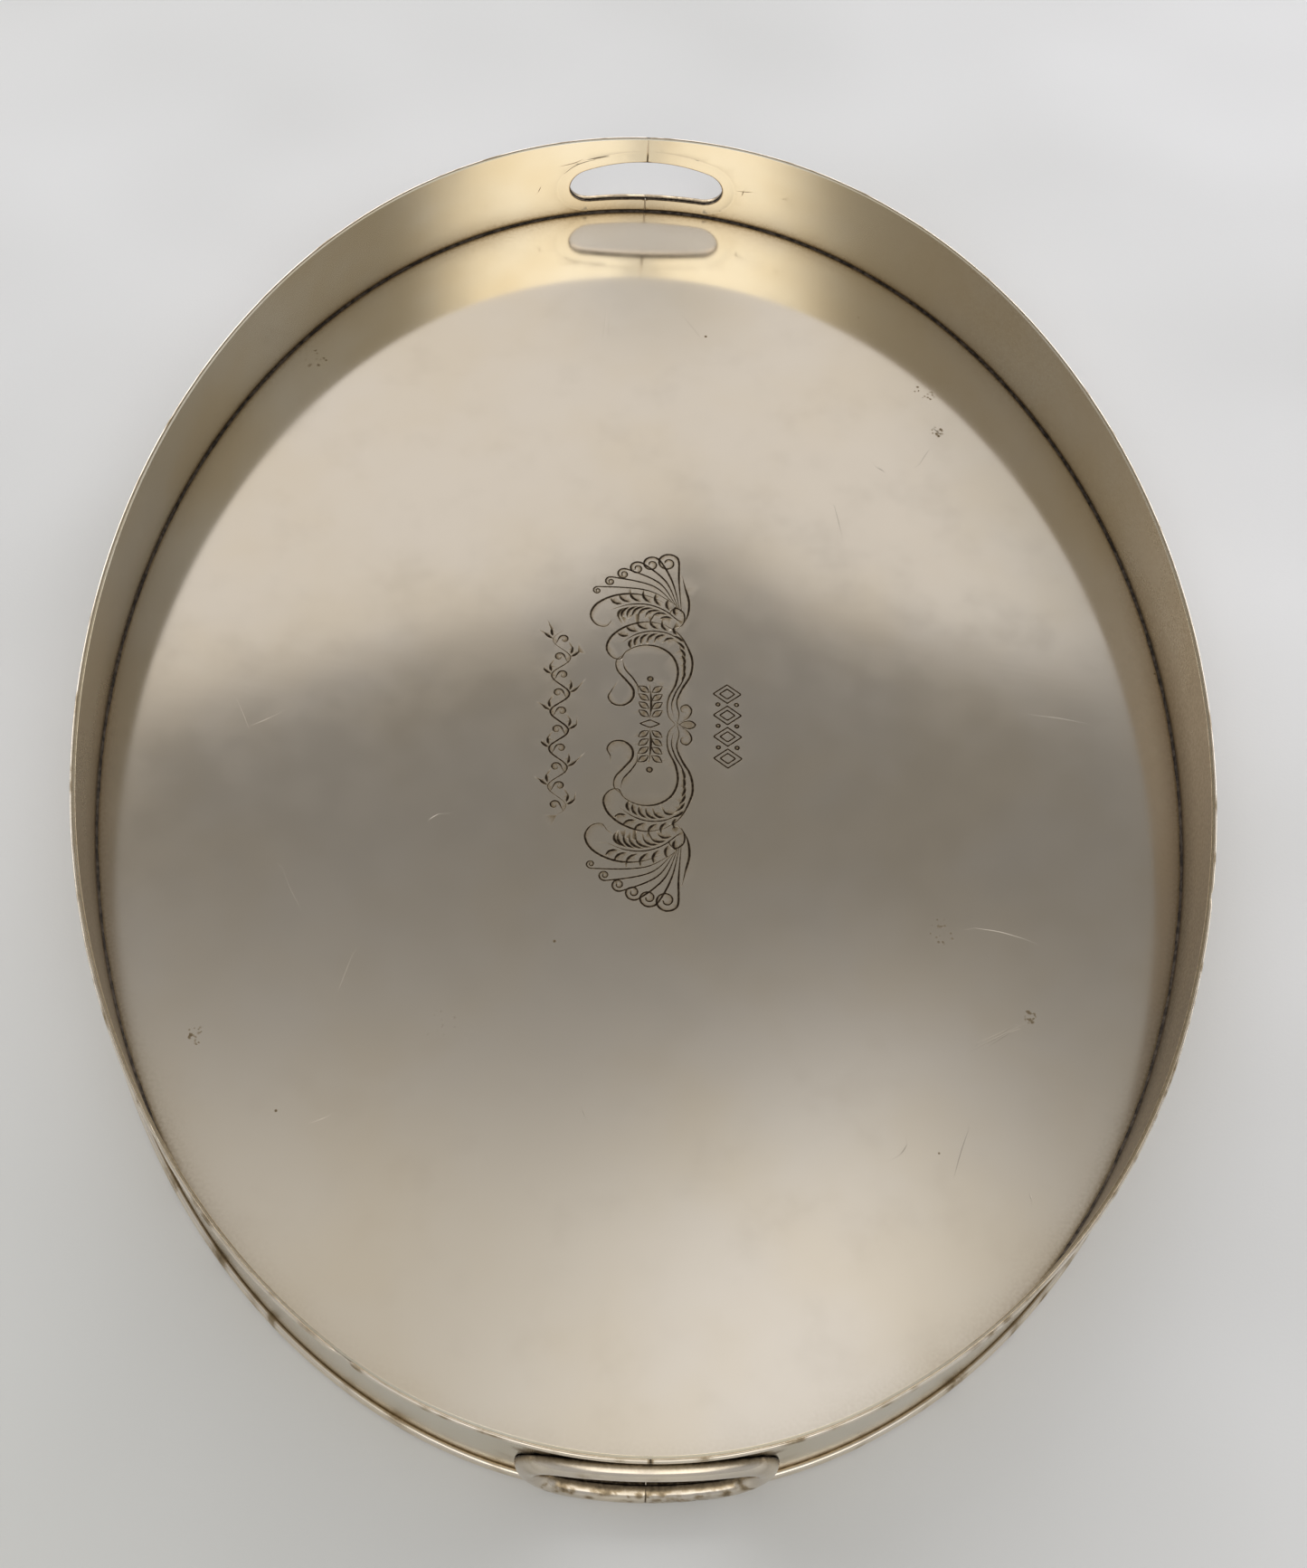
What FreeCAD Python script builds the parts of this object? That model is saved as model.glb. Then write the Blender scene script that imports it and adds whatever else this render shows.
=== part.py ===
"""Oval gallery tray with a cut-out handle at each end, soldered up from sheet and half-round wire.

Frame: +Y runs along the tray to the far handle, +X to the right, +Z up. The origin is the middle of the
underside, so Z = 0 is the table. All sizes are millimetres.
"""
import FreeCAD
import Part
import Sketcher
import math
import os

Vector = FreeCAD.Vector
Rotation = FreeCAD.Rotation
UP = Vector(0, 0, 1)

SIZES = [
    ("half_length", 300.0, "floor, centre to the wall's inner face, along Y"),
    ("half_width", 222.0, "floor, centre to the wall's inner face, along X"),
    ("floor_sheet", 1.2, "thickness of the floor"),
    ("wall_sheet", 1.0, "thickness of the gallery wall"),
    ("wall_rise", 45.5, "wall above the floor's top face"),
    ("seam_gap", 0.3, "solder line between the two wall halves"),
    ("rim_tall", 3.0, "rim wire, height of its flat back"),
    ("rim_proud", 1.3, "rim wire, outward from the wall"),
    ("rim_above", 0.2, "rim wire, above the wall's top edge"),
    ("foot_tall", 5.0, "foot wire, height of its flat back"),
    ("foot_proud", 2.5, "foot wire, outward from the wall"),
    ("grip_half_width", 36.2, "hand opening, middle to side"),
    ("grip_bottom", 9.0, "hand opening, height of its straight lower edge"),
    ("grip_top", 32.7, "hand opening, height of its crown"),
    ("grip_corner", 10.0, "hand opening, radius of its sides"),
    ("ring_wide", 8.8, "handle ring bar, width from the opening outward"),
    ("ring_proud", 5.1, "handle ring bar, outward from the wall"),
    ("ring_round", 4.2, "handle ring bar, rounding of its outer edges"),
    ("ring_fit", 0.05, "gap filed between a foot wire and a ring"),
    ("solder_leg", 1.2, "floor solder, leg of its triangular section"),
]

NODES = [
    "tray_floor",
    "gallery_wall_left",
    "gallery_wall_right",
    "rim_wire_left",
    "rim_wire_right",
    "foot_wire_left",
    "foot_wire_right",
    "handle_ring_near",
    "handle_ring_far",
    "floor_solder",
    "seam_solder_near",
    "seam_solder_far",
]

# Planes for loose sketches: sketch X and Y run along world X and Z, or along world Y and Z.
FRONT_PLANE = Rotation(Vector(1, 0, 0), 90)
SIDE_PLANE = Rotation(Vector(1, 1, 1), 120)
LEFT_HALF = (0.0, 180.0)
WHOLE_OVAL = (0.0, 360.0)
ON_CURVE = 1e-6

doc = FreeCAD.newDocument("oval_gallery_tray")
sheet = doc.addObject("Spreadsheet::Sheet", "sizes")


def fill_sheet():
    """Write one driving dimension a row: name, plain number with an alias, and what it is."""
    for row, (alias, value, meaning) in enumerate(SIZES, start=1):
        sheet.set("A%d" % row, alias)
        sheet.set("B%d" % row, str(value))
        sheet.set("C%d" % row, meaning)
        sheet.setAlias("B%d" % row, alias)
    doc.recompute()


def size(expression):
    """The number that an expression of the sheet's aliases gives, such as grip_top - grip_bottom."""
    return float(sheet.evalExpression(expression))


def bind(obj, **expressions):
    """Bind properties of an object to expressions of the sheet's aliases."""
    for prop, expression in expressions.items():
        obj.setExpression(prop.replace("__", "."), expression)


def label(obj, node):
    """Give a finished sub-part the name of its node."""
    obj.Label = node
    return obj


def oval(name, grow, arc):
    """An ellipse with its long axis along Y, grown outward from the wall's inner face."""
    curve = doc.addObject("Part::Ellipse", name)
    curve.Placement = FreeCAD.Placement(Vector(), Rotation(UP, 90))
    curve.Angle1, curve.Angle2 = arc
    bind(
        curve,
        MajorRadius="sizes.half_length + %s" % grow,
        MinorRadius="sizes.half_width + %s" % grow,
    )
    return curve


def extrude(name, profile, direction, length, symmetric=False):
    """Push a closed profile into a solid along a world direction."""
    solid = doc.addObject("Part::Extrusion", name)
    solid.Base = profile
    solid.DirMode = "Custom"
    solid.Dir = direction
    solid.Solid = True
    solid.Symmetric = symmetric
    bind(solid, LengthFwd=length)
    return solid


def oval_prism(name, grow, base, height):
    """An upright solid oval standing at the height of base."""
    curve = oval(name + "_outline", grow, WHOLE_OVAL)
    bind(curve, Placement__Base__z=base)
    return extrude(name, curve, UP, height)


def boolean(kind, name, base, tool):
    """A Part::Cut or Part::Common of two solids."""
    result = doc.addObject("Part::" + kind, name)
    result.Base = base
    result.Tool = tool
    return result


def mirrored(name, source, normal):
    """A copy of a sub-part on the other side of the tray."""
    copy = doc.addObject("Part::Mirroring", name)
    copy.Source = source
    copy.Normal = normal
    return copy


def name_constraints(sketch, named):
    """Add dimensions to a sketch as {name: (constraint, expression)} and bind each one."""
    for name, (constraint, expression) in named.items():
        index = sketch.addConstraint(constraint)
        sketch.renameConstraint(index, name)
        sketch.setExpression("Constraints." + name, expression)


def grip_outline(name, grow):
    """The hand opening's outline grown by a distance: straight foot, round sides, one flat arch on top.

    The arch's radius follows from its being tangent to both sides and passing through the crown.
    """
    corner_radius = "sizes.grip_corner + %s" % grow
    lowest = "sizes.grip_bottom - %s" % grow
    reach = "(sizes.grip_half_width - sizes.grip_corner)"
    fall = "(sizes.grip_bottom + sizes.grip_corner - sizes.grip_top - %s)" % grow
    spare = "(sizes.grip_top - sizes.grip_bottom - 2 * sizes.grip_corner)"
    arch_radius = "(%s ^ 2 + %s ^ 2 - (%s) ^ 2) / (2 * %s)" % (reach, fall, corner_radius, spare)
    run = size(reach)
    corner = size(corner_radius)
    low = size(lowest)
    arch = size(arch_radius)
    arch_centre = Vector(0, size("sizes.grip_top + %s" % grow) - arch, 0)
    right_centre = Vector(run, low + corner, 0)
    left_centre = Vector(-run, low + corner, 0)
    turn = (right_centre - arch_centre).getAngle(Vector(1, 0, 0))

    sketch = doc.addObject("Sketcher::SketchObject", name)
    sketch.Placement = FreeCAD.Placement(Vector(), FRONT_PLANE)
    foot, right, top, left = sketch.addGeometry(
        [
            Part.LineSegment(Vector(-run, low, 0), Vector(run, low, 0)),
            Part.ArcOfCircle(Part.Circle(right_centre, UP, corner), -math.pi / 2, turn),
            Part.ArcOfCircle(Part.Circle(arch_centre, UP, arch), turn, math.pi - turn),
            Part.ArcOfCircle(Part.Circle(left_centre, UP, corner), math.pi - turn, 3 * math.pi / 2),
        ]
    )
    start, end, axis, origin = 1, 2, -2, -1
    for first, second in ((foot, right), (right, top), (top, left), (left, foot)):
        sketch.addConstraint(Sketcher.Constraint("Tangent", first, end, second, start))
    sketch.addConstraint(Sketcher.Constraint("Equal", right, left))
    sketch.addConstraint(Sketcher.Constraint("Symmetric", foot, start, foot, end, axis))
    name_constraints(
        sketch,
        {
            "run": (Sketcher.Constraint("DistanceX", foot, start, foot, end, 2 * run), "2 * %s" % reach),
            "low": (Sketcher.Constraint("DistanceY", origin, start, foot, start, low), lowest),
            "corner": (Sketcher.Constraint("Radius", right, corner), corner_radius),
            "arch": (Sketcher.Constraint("Radius", top, arch), arch_radius),
        },
    )
    return sketch


def half_round_section(name, base, tall, proud):
    """A half-round wire's section at the far end of the oval, its flat back on the wall's outer face."""
    wall_face = "sizes.half_length + sizes.wall_sheet"
    bow_centre = "%s + %s - (%s ^ 2 / 4 + %s ^ 2) / (2 * %s)" % (wall_face, proud, tall, proud, proud)
    sketch = doc.addObject("Sketcher::SketchObject", name)
    sketch.Placement = FreeCAD.Placement(Vector(), SIDE_PLANE)
    bottom = Vector(size(wall_face), size(base), 0)
    top = bottom + Vector(0, size(tall), 0)
    crown = (bottom + top) / 2 + Vector(size(proud), 0, 0)
    flat, bow = sketch.addGeometry(
        [Part.LineSegment(bottom, top), Part.Arc(bottom, crown, top)]
    )
    start, end, centre, origin = 1, 2, 3, -1
    sketch.addConstraint(Sketcher.Constraint("Coincident", flat, start, bow, start))
    sketch.addConstraint(Sketcher.Constraint("Coincident", flat, end, bow, end))
    sketch.addConstraint(Sketcher.Constraint("Vertical", flat))
    name_constraints(
        sketch,
        {
            "back": (Sketcher.Constraint("DistanceX", origin, start, flat, start, bottom.x), wall_face),
            "base": (Sketcher.Constraint("DistanceY", origin, start, flat, start, bottom.y), base),
            "tall": (Sketcher.Constraint("DistanceY", flat, start, flat, end, size(tall)), tall),
            "bow": (
                Sketcher.Constraint("DistanceX", origin, start, bow, centre, size(bow_centre)),
                bow_centre,
            ),
        },
    )
    return sketch


def sweep(name, section, spine):
    """Carry a section along one curve as a solid."""
    solid = doc.addObject("Part::Sweep", name)
    solid.Sections = [section]
    solid.Spine = (spine, ["Edge1"])
    solid.Solid = True
    solid.Frenet = True
    return solid


def build_floor():
    """The flat oval floor, its edge level with the wall's outer face."""
    return label(oval_prism("floor", "sizes.wall_sheet", "0", "sizes.floor_sheet"), "tray_floor")


def build_walls(grip):
    """Two sheet strips bent to half the oval, each with half of both hand openings."""
    outer = oval_prism("wall_outer", "sizes.wall_sheet", "sizes.floor_sheet", "sizes.wall_rise")
    inner = oval_prism("wall_inner", "0", "sizes.floor_sheet", "sizes.wall_rise")
    band = boolean("Cut", "wall_band", outer, inner)
    pierced = boolean("Cut", "wall_pierced", band, grip)
    half = doc.addObject("Part::Box", "wall_left_space")
    bind(
        half,
        Length="2 * sizes.half_width",
        Width="4 * sizes.half_length",
        Height="2 * sizes.wall_rise",
        Placement__Base__x="-2 * sizes.half_width - sizes.seam_gap / 2",
        Placement__Base__y="-2 * sizes.half_length",
    )
    left = label(boolean("Common", "wall_left", pierced, half), "gallery_wall_left")
    label(mirrored("wall_right", left, Vector(1, 0, 0)), "gallery_wall_right")


def build_rim():
    """Half-round wire round the outside of the top edge, in two halves butted at the handles."""
    base = "sizes.floor_sheet + sizes.wall_rise + sizes.rim_above - sizes.rim_tall"
    section = half_round_section("rim_section", base, "sizes.rim_tall", "sizes.rim_proud")
    left = label(sweep("rim_left", section, oval("rim_spine", "sizes.wall_sheet", LEFT_HALF)), "rim_wire_left")
    label(mirrored("rim_right", left, Vector(1, 0, 0)), "rim_wire_right")


def build_foot(ring_space):
    """Half-round wire round the outside of the foot, stopped against both handle rings."""
    section = half_round_section("foot_section", "0", "sizes.foot_tall", "sizes.foot_proud")
    whole = sweep("foot_whole", section, oval("foot_spine", "sizes.wall_sheet", LEFT_HALF))
    left = label(boolean("Cut", "foot_left", whole, ring_space), "foot_wire_left")
    label(mirrored("foot_right", left, Vector(1, 0, 0)), "foot_wire_right")


def outer_edges(shape, grow):
    """The numbers of a shape's edges that lie on the oval grown by a distance from the wall's inner face."""
    long_axis = size("sizes.half_length + %s" % grow)
    short_axis = size("sizes.half_width + %s" % grow)
    found = []
    for number, edge in enumerate(shape.Edges, start=1):
        middle = edge.valueAt((edge.FirstParameter + edge.LastParameter) / 2)
        points = [middle] + [vertex.Point for vertex in edge.Vertexes]
        if all(abs(math.hypot(p.x / short_axis, p.y / long_axis) - 1) < ON_CURVE for p in points):
            found.append(number)
    return found


def build_rings(grip, ring_edge):
    """The bar bent to a ring round each opening and to the wall's curve, its flat back on the wall."""
    grow = "sizes.wall_sheet + sizes.ring_proud"
    high = "2 * sizes.grip_top"
    shell = boolean(
        "Cut",
        "ring_shell",
        oval_prism("ring_outer", grow, "0", high),
        oval_prism("ring_inner", "sizes.wall_sheet", "0", high),
    )
    bar = extrude("ring_bar", ring_edge, Vector(0, 1, 0), "2 * sizes.half_length")
    band = boolean("Cut", "ring_band", bar, grip)
    square = boolean("Common", "ring_square", band, shell)
    doc.recompute()
    ring = doc.addObject("Part::Fillet", "ring_far")
    ring.Base = square
    rounding = size("sizes.ring_round")
    ring.Edges = [(number, rounding, rounding) for number in outer_edges(square.Shape, grow)]
    far = label(ring, "handle_ring_far")
    label(mirrored("ring_near", far, Vector(0, 1, 0)), "handle_ring_near")


def build_floor_solder():
    """The fillet of solder round the floor, in the corner under the wall."""
    sketch = doc.addObject("Sketcher::SketchObject", "solder_section")
    sketch.Placement = FreeCAD.Placement(Vector(), SIDE_PLANE)
    leg = size("sizes.solder_leg")
    corner = Vector(size("sizes.half_length"), size("sizes.floor_sheet"), 0)
    toe = corner - Vector(leg, 0, 0)
    head = corner + Vector(0, leg, 0)
    under, upright, slope = sketch.addGeometry(
        [Part.LineSegment(toe, corner), Part.LineSegment(corner, head), Part.LineSegment(head, toe)]
    )
    start, end, origin = 1, 2, -1
    for first, second in ((under, upright), (upright, slope), (slope, under)):
        sketch.addConstraint(Sketcher.Constraint("Coincident", first, end, second, start))
    sketch.addConstraint(Sketcher.Constraint("Horizontal", under))
    sketch.addConstraint(Sketcher.Constraint("Vertical", upright))
    sketch.addConstraint(Sketcher.Constraint("Equal", under, upright))
    name_constraints(
        sketch,
        {
            "wall": (
                Sketcher.Constraint("DistanceX", origin, start, upright, start, corner.x),
                "sizes.half_length",
            ),
            "floor": (
                Sketcher.Constraint("DistanceY", origin, start, upright, start, corner.y),
                "sizes.floor_sheet",
            ),
            "leg": (Sketcher.Constraint("DistanceY", upright, start, upright, end, leg), "sizes.solder_leg"),
        },
    )
    label(sweep("solder", sketch, oval("solder_spine", "0", WHOLE_OVAL)), "floor_solder")


def build_seam_solder():
    """The wall's butt seam at each end, filled above and below the opening."""
    spans = {
        "seam_below": ("sizes.floor_sheet", "sizes.grip_bottom - sizes.floor_sheet"),
        "seam_above": ("sizes.grip_top", "sizes.floor_sheet + sizes.wall_rise - sizes.grip_top"),
    }
    strips = []
    for name, (base, height) in spans.items():
        strip = doc.addObject("Part::Box", name)
        bind(
            strip,
            Length="sizes.seam_gap",
            Width="sizes.wall_sheet",
            Height=height,
            Placement__Base__x="-sizes.seam_gap / 2",
            Placement__Base__y="sizes.half_length",
            Placement__Base__z=base,
        )
        strips.append(strip)
    pair = doc.addObject("Part::Compound", "seam_far")
    pair.Links = strips
    far = label(pair, "seam_solder_far")
    label(mirrored("seam_near", far, Vector(0, 1, 0)), "seam_solder_near")


def check_document():
    """Stop if any object failed or any sub-part's shape is missing or invalid."""
    for obj in doc.Objects:
        if "Invalid" in obj.State or "Error" in obj.State:
            raise RuntimeError("%s did not compute: %s" % (obj.Label, obj.State))
    for node in NODES:
        shape = doc.getObjectsByLabel(node)[0].Shape
        if shape.isNull() or not shape.isValid() or shape.Volume <= 0:
            raise RuntimeError("%s has no valid shape" % node)


def write_parts():
    """Write each sub-part's shape to parts/, named for its node."""
    os.makedirs("parts", exist_ok=True)
    for node in NODES:
        shape = doc.getObjectsByLabel(node)[0].Shape
        shape.exportStep("parts/%s.step" % node)
        box = shape.BoundBox
        print(
            "%-20s solids %d volume %9.1f x %7.2f..%7.2f y %7.2f..%7.2f z %6.2f..%6.2f"
            % (node, len(shape.Solids), shape.Volume, box.XMin, box.XMax, box.YMin, box.YMax, box.ZMin, box.ZMax)
        )


fill_sheet()
grip_edge = grip_outline("grip_edge", "0")
ring_edge = grip_outline("ring_edge", "sizes.ring_wide")
foot_edge = grip_outline("foot_edge", "(sizes.ring_wide + sizes.ring_fit)")
grip_cutter = extrude("grip_cutter", grip_edge, Vector(0, 1, 0), "3 * sizes.half_length", symmetric=True)
foot_cutter = extrude("foot_cutter", foot_edge, Vector(0, 1, 0), "3 * sizes.half_length", symmetric=True)
doc.recompute()
build_floor()
build_walls(grip_cutter)
build_rim()
build_foot(foot_cutter)
build_rings(grip_cutter, ring_edge)
build_floor_solder()
build_seam_solder()
doc.recompute()
check_document()
write_parts()
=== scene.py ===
"""An oval gallery tray in satin silver plate over brass: engraved, soldered up by hand, and worn.

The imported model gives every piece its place. Lengths in the classes are millimetres and MM turns them into
Blender's metres. +Y runs along the tray to the far handle, +Z is up, and the tray stands on Z = 0.
"""
import logging
import math
from collections.abc import Callable
from dataclasses import dataclass, field
from enum import Enum

import bpy
import numpy as np
from mathutils import Matrix, Vector
from mathutils.geometry import delaunay_2d_cdt


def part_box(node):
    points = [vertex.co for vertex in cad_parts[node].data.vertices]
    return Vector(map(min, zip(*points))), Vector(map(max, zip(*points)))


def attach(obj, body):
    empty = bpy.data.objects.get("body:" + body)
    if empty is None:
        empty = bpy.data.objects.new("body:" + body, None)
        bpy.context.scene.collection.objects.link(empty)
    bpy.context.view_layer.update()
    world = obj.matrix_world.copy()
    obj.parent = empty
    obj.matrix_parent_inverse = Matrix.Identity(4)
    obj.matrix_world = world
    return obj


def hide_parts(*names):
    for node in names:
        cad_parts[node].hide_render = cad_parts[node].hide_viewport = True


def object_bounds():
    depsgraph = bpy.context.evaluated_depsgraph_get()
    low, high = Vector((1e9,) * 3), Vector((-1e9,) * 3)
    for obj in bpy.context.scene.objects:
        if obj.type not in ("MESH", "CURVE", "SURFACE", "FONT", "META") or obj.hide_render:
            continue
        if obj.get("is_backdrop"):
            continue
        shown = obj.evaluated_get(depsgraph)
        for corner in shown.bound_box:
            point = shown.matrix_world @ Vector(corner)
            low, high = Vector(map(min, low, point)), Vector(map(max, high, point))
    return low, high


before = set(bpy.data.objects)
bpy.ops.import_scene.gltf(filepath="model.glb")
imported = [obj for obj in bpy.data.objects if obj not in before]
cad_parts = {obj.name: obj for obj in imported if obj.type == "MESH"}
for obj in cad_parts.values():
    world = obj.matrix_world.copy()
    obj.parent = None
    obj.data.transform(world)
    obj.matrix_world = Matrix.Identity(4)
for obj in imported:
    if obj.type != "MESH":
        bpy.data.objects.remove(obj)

LOG = logging.getLogger("tray")
MM = 0.001
BODY = "root"
TARNISH_AND_SHADE = "tarnish"
OVAL_STEPS = 7200
CUT_STEP = 0.6
TIGHT_STEP = 0.5
COLOURS = {"data_type": "RGBA"}
EASED = {"interpolation_type": "SMOOTHSTEP"}
TIMES = {"operation": "MULTIPLY"}
DOT = {"operation": "DOT_PRODUCT"}
Array = np.ndarray
Tree = bpy.types.NodeTree
Node = bpy.types.Node
Socket = bpy.types.NodeSocket


class End(Enum):
    """The two handles: the near one at -Y and the far one at +Y."""

    NEAR = -1
    FAR = 1


class Side(Enum):
    """The two halves that the wall and its wires are bent from."""

    LEFT = -1
    RIGHT = 1


# Tarnish on each side of the wall at the far end, and how much more there is by the middle.
YELLOWED = {Side.LEFT: (0.10, 0.08), Side.RIGHT: (0.20, 0.10)}


class Slot(Enum):
    """The record's material slots."""

    FLOOR = "floor_sheet"
    WALL = "wall_sheet"
    WIRE = "wire"
    RING = "ring_bar"
    SOLDER = "solder"


# ---------------------------------------------------------------------------------------------------------
# Shapes
# ---------------------------------------------------------------------------------------------------------


def node_box(node: str) -> tuple[Array, Array]:
    """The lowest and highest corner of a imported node, in millimetres.

    Args:
        node: the node's name.
    Returns:
        Two arrays of three numbers.
    """
    low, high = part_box(node)
    return np.array(low) / MM, np.array(high) / MM


def smooth_step(low: float, high: float, value: Array) -> Array:
    """Rise smoothly from 0 at low to 1 at high.

    Args:
        low: where the rise starts.
        high: where it ends.
        value: the numbers to map.
    Returns:
        Numbers from 0 to 1.
    """
    share = np.clip((np.asarray(value, float) - low) / (high - low), 0.0, 1.0)
    return share * share * (3.0 - 2.0 * share)


def band(off: Array, wide: float) -> Array:
    """1 on a line and fading to 0 about two widths away from it."""
    return np.exp(-((off / wide) ** 2))


def cracked(height: Array) -> Array:
    """1 where the wall's seam has cracked, just over a handle opening, and 0 higher up and below."""
    return smooth_step(38.5, 37.0, height) * (height > 31)


@dataclass
class Oval:
    """The oval that the wall's inner face follows, walked by arc length clockwise from the far end.

    Its halves are the right one, from 0 to half_round, and the left one, on from there to round.
    """

    half_length: float
    half_width: float
    turns: Array = field(init=False)
    walks: Array = field(init=False)

    def __post_init__(self) -> None:
        """Tabulate arc length against the oval's own angle."""
        self.turns = np.linspace(0.0, 2.0 * math.pi, OVAL_STEPS + 1)
        x, y = self.half_width * np.sin(self.turns), self.half_length * np.cos(self.turns)
        self.walks = np.concatenate([[0.0], np.cumsum(np.hypot(np.diff(x), np.diff(y)))])

    @property
    def round(self) -> float:
        """The whole way round."""
        return float(self.walks[-1])

    @property
    def half_round(self) -> float:
        """Half the way round, which ends at the near handle."""
        return self.round / 2

    def turn(self, walk: Array) -> Array:
        """The oval's own angle, 0 at the far end and a quarter turn at +X, for an arc length."""
        return np.interp(np.mod(walk, self.round), self.walks, self.turns)

    def place(self, walk: Array, out: Array, height: Array) -> Array:
        """Points beside the oval.

        Args:
            walk: arc length from the far end.
            out: distance outward from the oval.
            height: Z.
        Returns:
            An array of points, one a row, in millimetres.
        """
        turn = self.turn(walk)
        sine, cosine = np.sin(turn), np.cos(turn)
        normal_x, normal_y = sine / self.half_width, cosine / self.half_length
        length = np.hypot(normal_x, normal_y)
        x = self.half_width * sine + out * normal_x / length
        y = self.half_length * cosine + out * normal_y / length
        return np.stack([x, y, np.broadcast_to(height, x.shape)], axis=-1)

    def walk_at_x(self, x: Array) -> Array:
        """Arc length from the far end, negative to the left, of the point above a given X."""
        quarter = OVAL_STEPS // 4 + 1
        reach, walks = self.half_width * np.sin(self.turns[:quarter]), self.walks[:quarter]
        return np.interp(x, reach, walks) - np.interp(-np.asarray(x), reach, walks)


@dataclass(frozen=True)
class HandWork:
    """How far the hand-bent wall strays from true: it leans a little and its top edge dips a little."""

    lean_waves: tuple[tuple[int, float, float], ...] = (
        (2, 0.35, 0.6),
        (3, 0.30, 2.1),
        (5, 0.18, 4.0),
        (9, 0.07, 1.0),
    )
    lean_from: float = 0.1
    lean_power: float = 1.4
    bulge_at: float = 2.30
    bulge_wide: float = 0.28
    bulge_out: float = 1.5
    dip_waves: tuple[tuple[int, float, float], ...] = ((2, 0.10, 1.0), (5, 0.08, 0.3), (11, 0.04, 2.0))
    quiet_near_handles: float = 0.30
    free_from: float = 0.6
    highest_share: float = 1.1

    def _free(self, turn: Array) -> Array:
        """0 at the handles, where the ring stiffens the wall, rising to 1 away from them."""
        away = np.abs(np.sin(turn)) / self.quiet_near_handles
        return smooth_step(self.free_from, 1.0 + self.quiet_near_handles, away)

    def lean(self, turn: Array, share: Array) -> Array:
        """Outward stray of the wall.

        Args:
            turn: the oval's own angle.
            share: height up the wall, from 0 at the floor to 1 at the top edge.
        Returns:
            Millimetres outward.
        """
        total = sum(size * np.sin(count * turn + phase) for count, size, phase in self.lean_waves)
        total = total + self.bulge_out * band(turn - self.bulge_at, self.bulge_wide)
        rise = np.clip((share - self.lean_from) / (1.0 - self.lean_from), 0.0, self.highest_share)
        return total * self._free(turn) * rise**self.lean_power

    def dip(self, turn: Array, share: Array) -> Array:
        """Downward stray of the wall's top, never upward, as lean gives its outward stray."""
        deepest = sum(size for _, size, _ in self.dip_waves)
        total = sum(size * np.sin(count * turn + phase) for count, size, phase in self.dip_waves) - deepest
        return total * self._free(turn) * np.clip(share, 0.0, self.highest_share) ** 2


@dataclass
class Plan:
    """A flat drawing of a sheet-metal piece: its edge, its lines and loose points, made into triangles."""

    points: list[Array] = field(default_factory=list)
    edges: list[tuple[int, int]] = field(default_factory=list)
    count: int = 0

    def line(self, points: Array, closed: bool = False) -> None:
        """Add a line that the triangles keep to.

        Args:
            points: the line's points, one a row.
            closed: whether it returns to its start.
        """
        first, total = self.count, len(points)
        self.scatter(points)
        self.edges += [(first + i, first + i + 1) for i in range(total - 1)]
        if closed:
            self.edges.append((first + total - 1, first))

    def scatter(self, points: Array) -> None:
        """Add loose points."""
        self.points.append(np.asarray(points, float))
        self.count += len(points)

    def triangles(self, keep: Callable[[Array], Array] | None = None) -> tuple[Array, Array]:
        """Triangulate everything inside the outermost lines.

        Args:
            keep: tells from the triangles' middles which of them are metal.
        Returns:
            The points, one a row, and the triangles as rows of three indices, counter-clockwise.
        """
        coords = [Vector(p) for p in np.concatenate(self.points)]
        inside_only, merged_within = 1, 1e-5
        made = delaunay_2d_cdt(coords, self.edges, [], inside_only, merged_within, False)
        flat = np.array([tuple(v) for v in made[0]])
        corners = np.array([tuple(f) for f in made[2]], dtype=int)
        sides = flat[corners]
        first, second = sides[:, 1] - sides[:, 0], sides[:, 2] - sides[:, 0]
        backward = first[:, 0] * second[:, 1] - first[:, 1] * second[:, 0] < 0
        corners[backward] = corners[backward][:, ::-1]
        if keep is not None:
            corners = corners[keep(sides.mean(axis=1))]
        used = np.unique(corners)
        renumber = np.full(len(flat), -1)
        renumber[used] = np.arange(len(used))
        return flat[used], renumber[corners]


def open_sides(corners: Array) -> list[tuple[int, int]]:
    """The directed sides that only one triangle has: the sheet's edge.

    Args:
        corners: triangles as rows of three indices.
    Returns:
        Pairs of point indices.
    """
    sides = np.concatenate([corners[:, [0, 1]], corners[:, [1, 2]], corners[:, [2, 0]]])
    owned = {(int(a), int(b)) for a, b in sides}
    return [pair for pair in sorted(owned) if (pair[1], pair[0]) not in owned]


def ring_grid(rows: int, columns: int, wrap_rows: bool, wrap_columns: bool) -> list[tuple[int, ...]]:
    """Faces between neighbouring points of a grid stored row by row.

    Args:
        rows: number of rows.
        columns: points a row.
        wrap_rows: whether the last row joins the first.
        wrap_columns: whether a row's last point joins its first.
    Returns:
        Quads of point indices.
    """
    faces = []
    for row in range(rows if wrap_rows else rows - 1):
        here, after = row * columns, (row + 1) % rows * columns
        for column in range(columns if wrap_columns else columns - 1):
            beside = (column + 1) % columns
            faces.append((here + column, here + beside, after + beside, after + column))
    return faces


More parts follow.
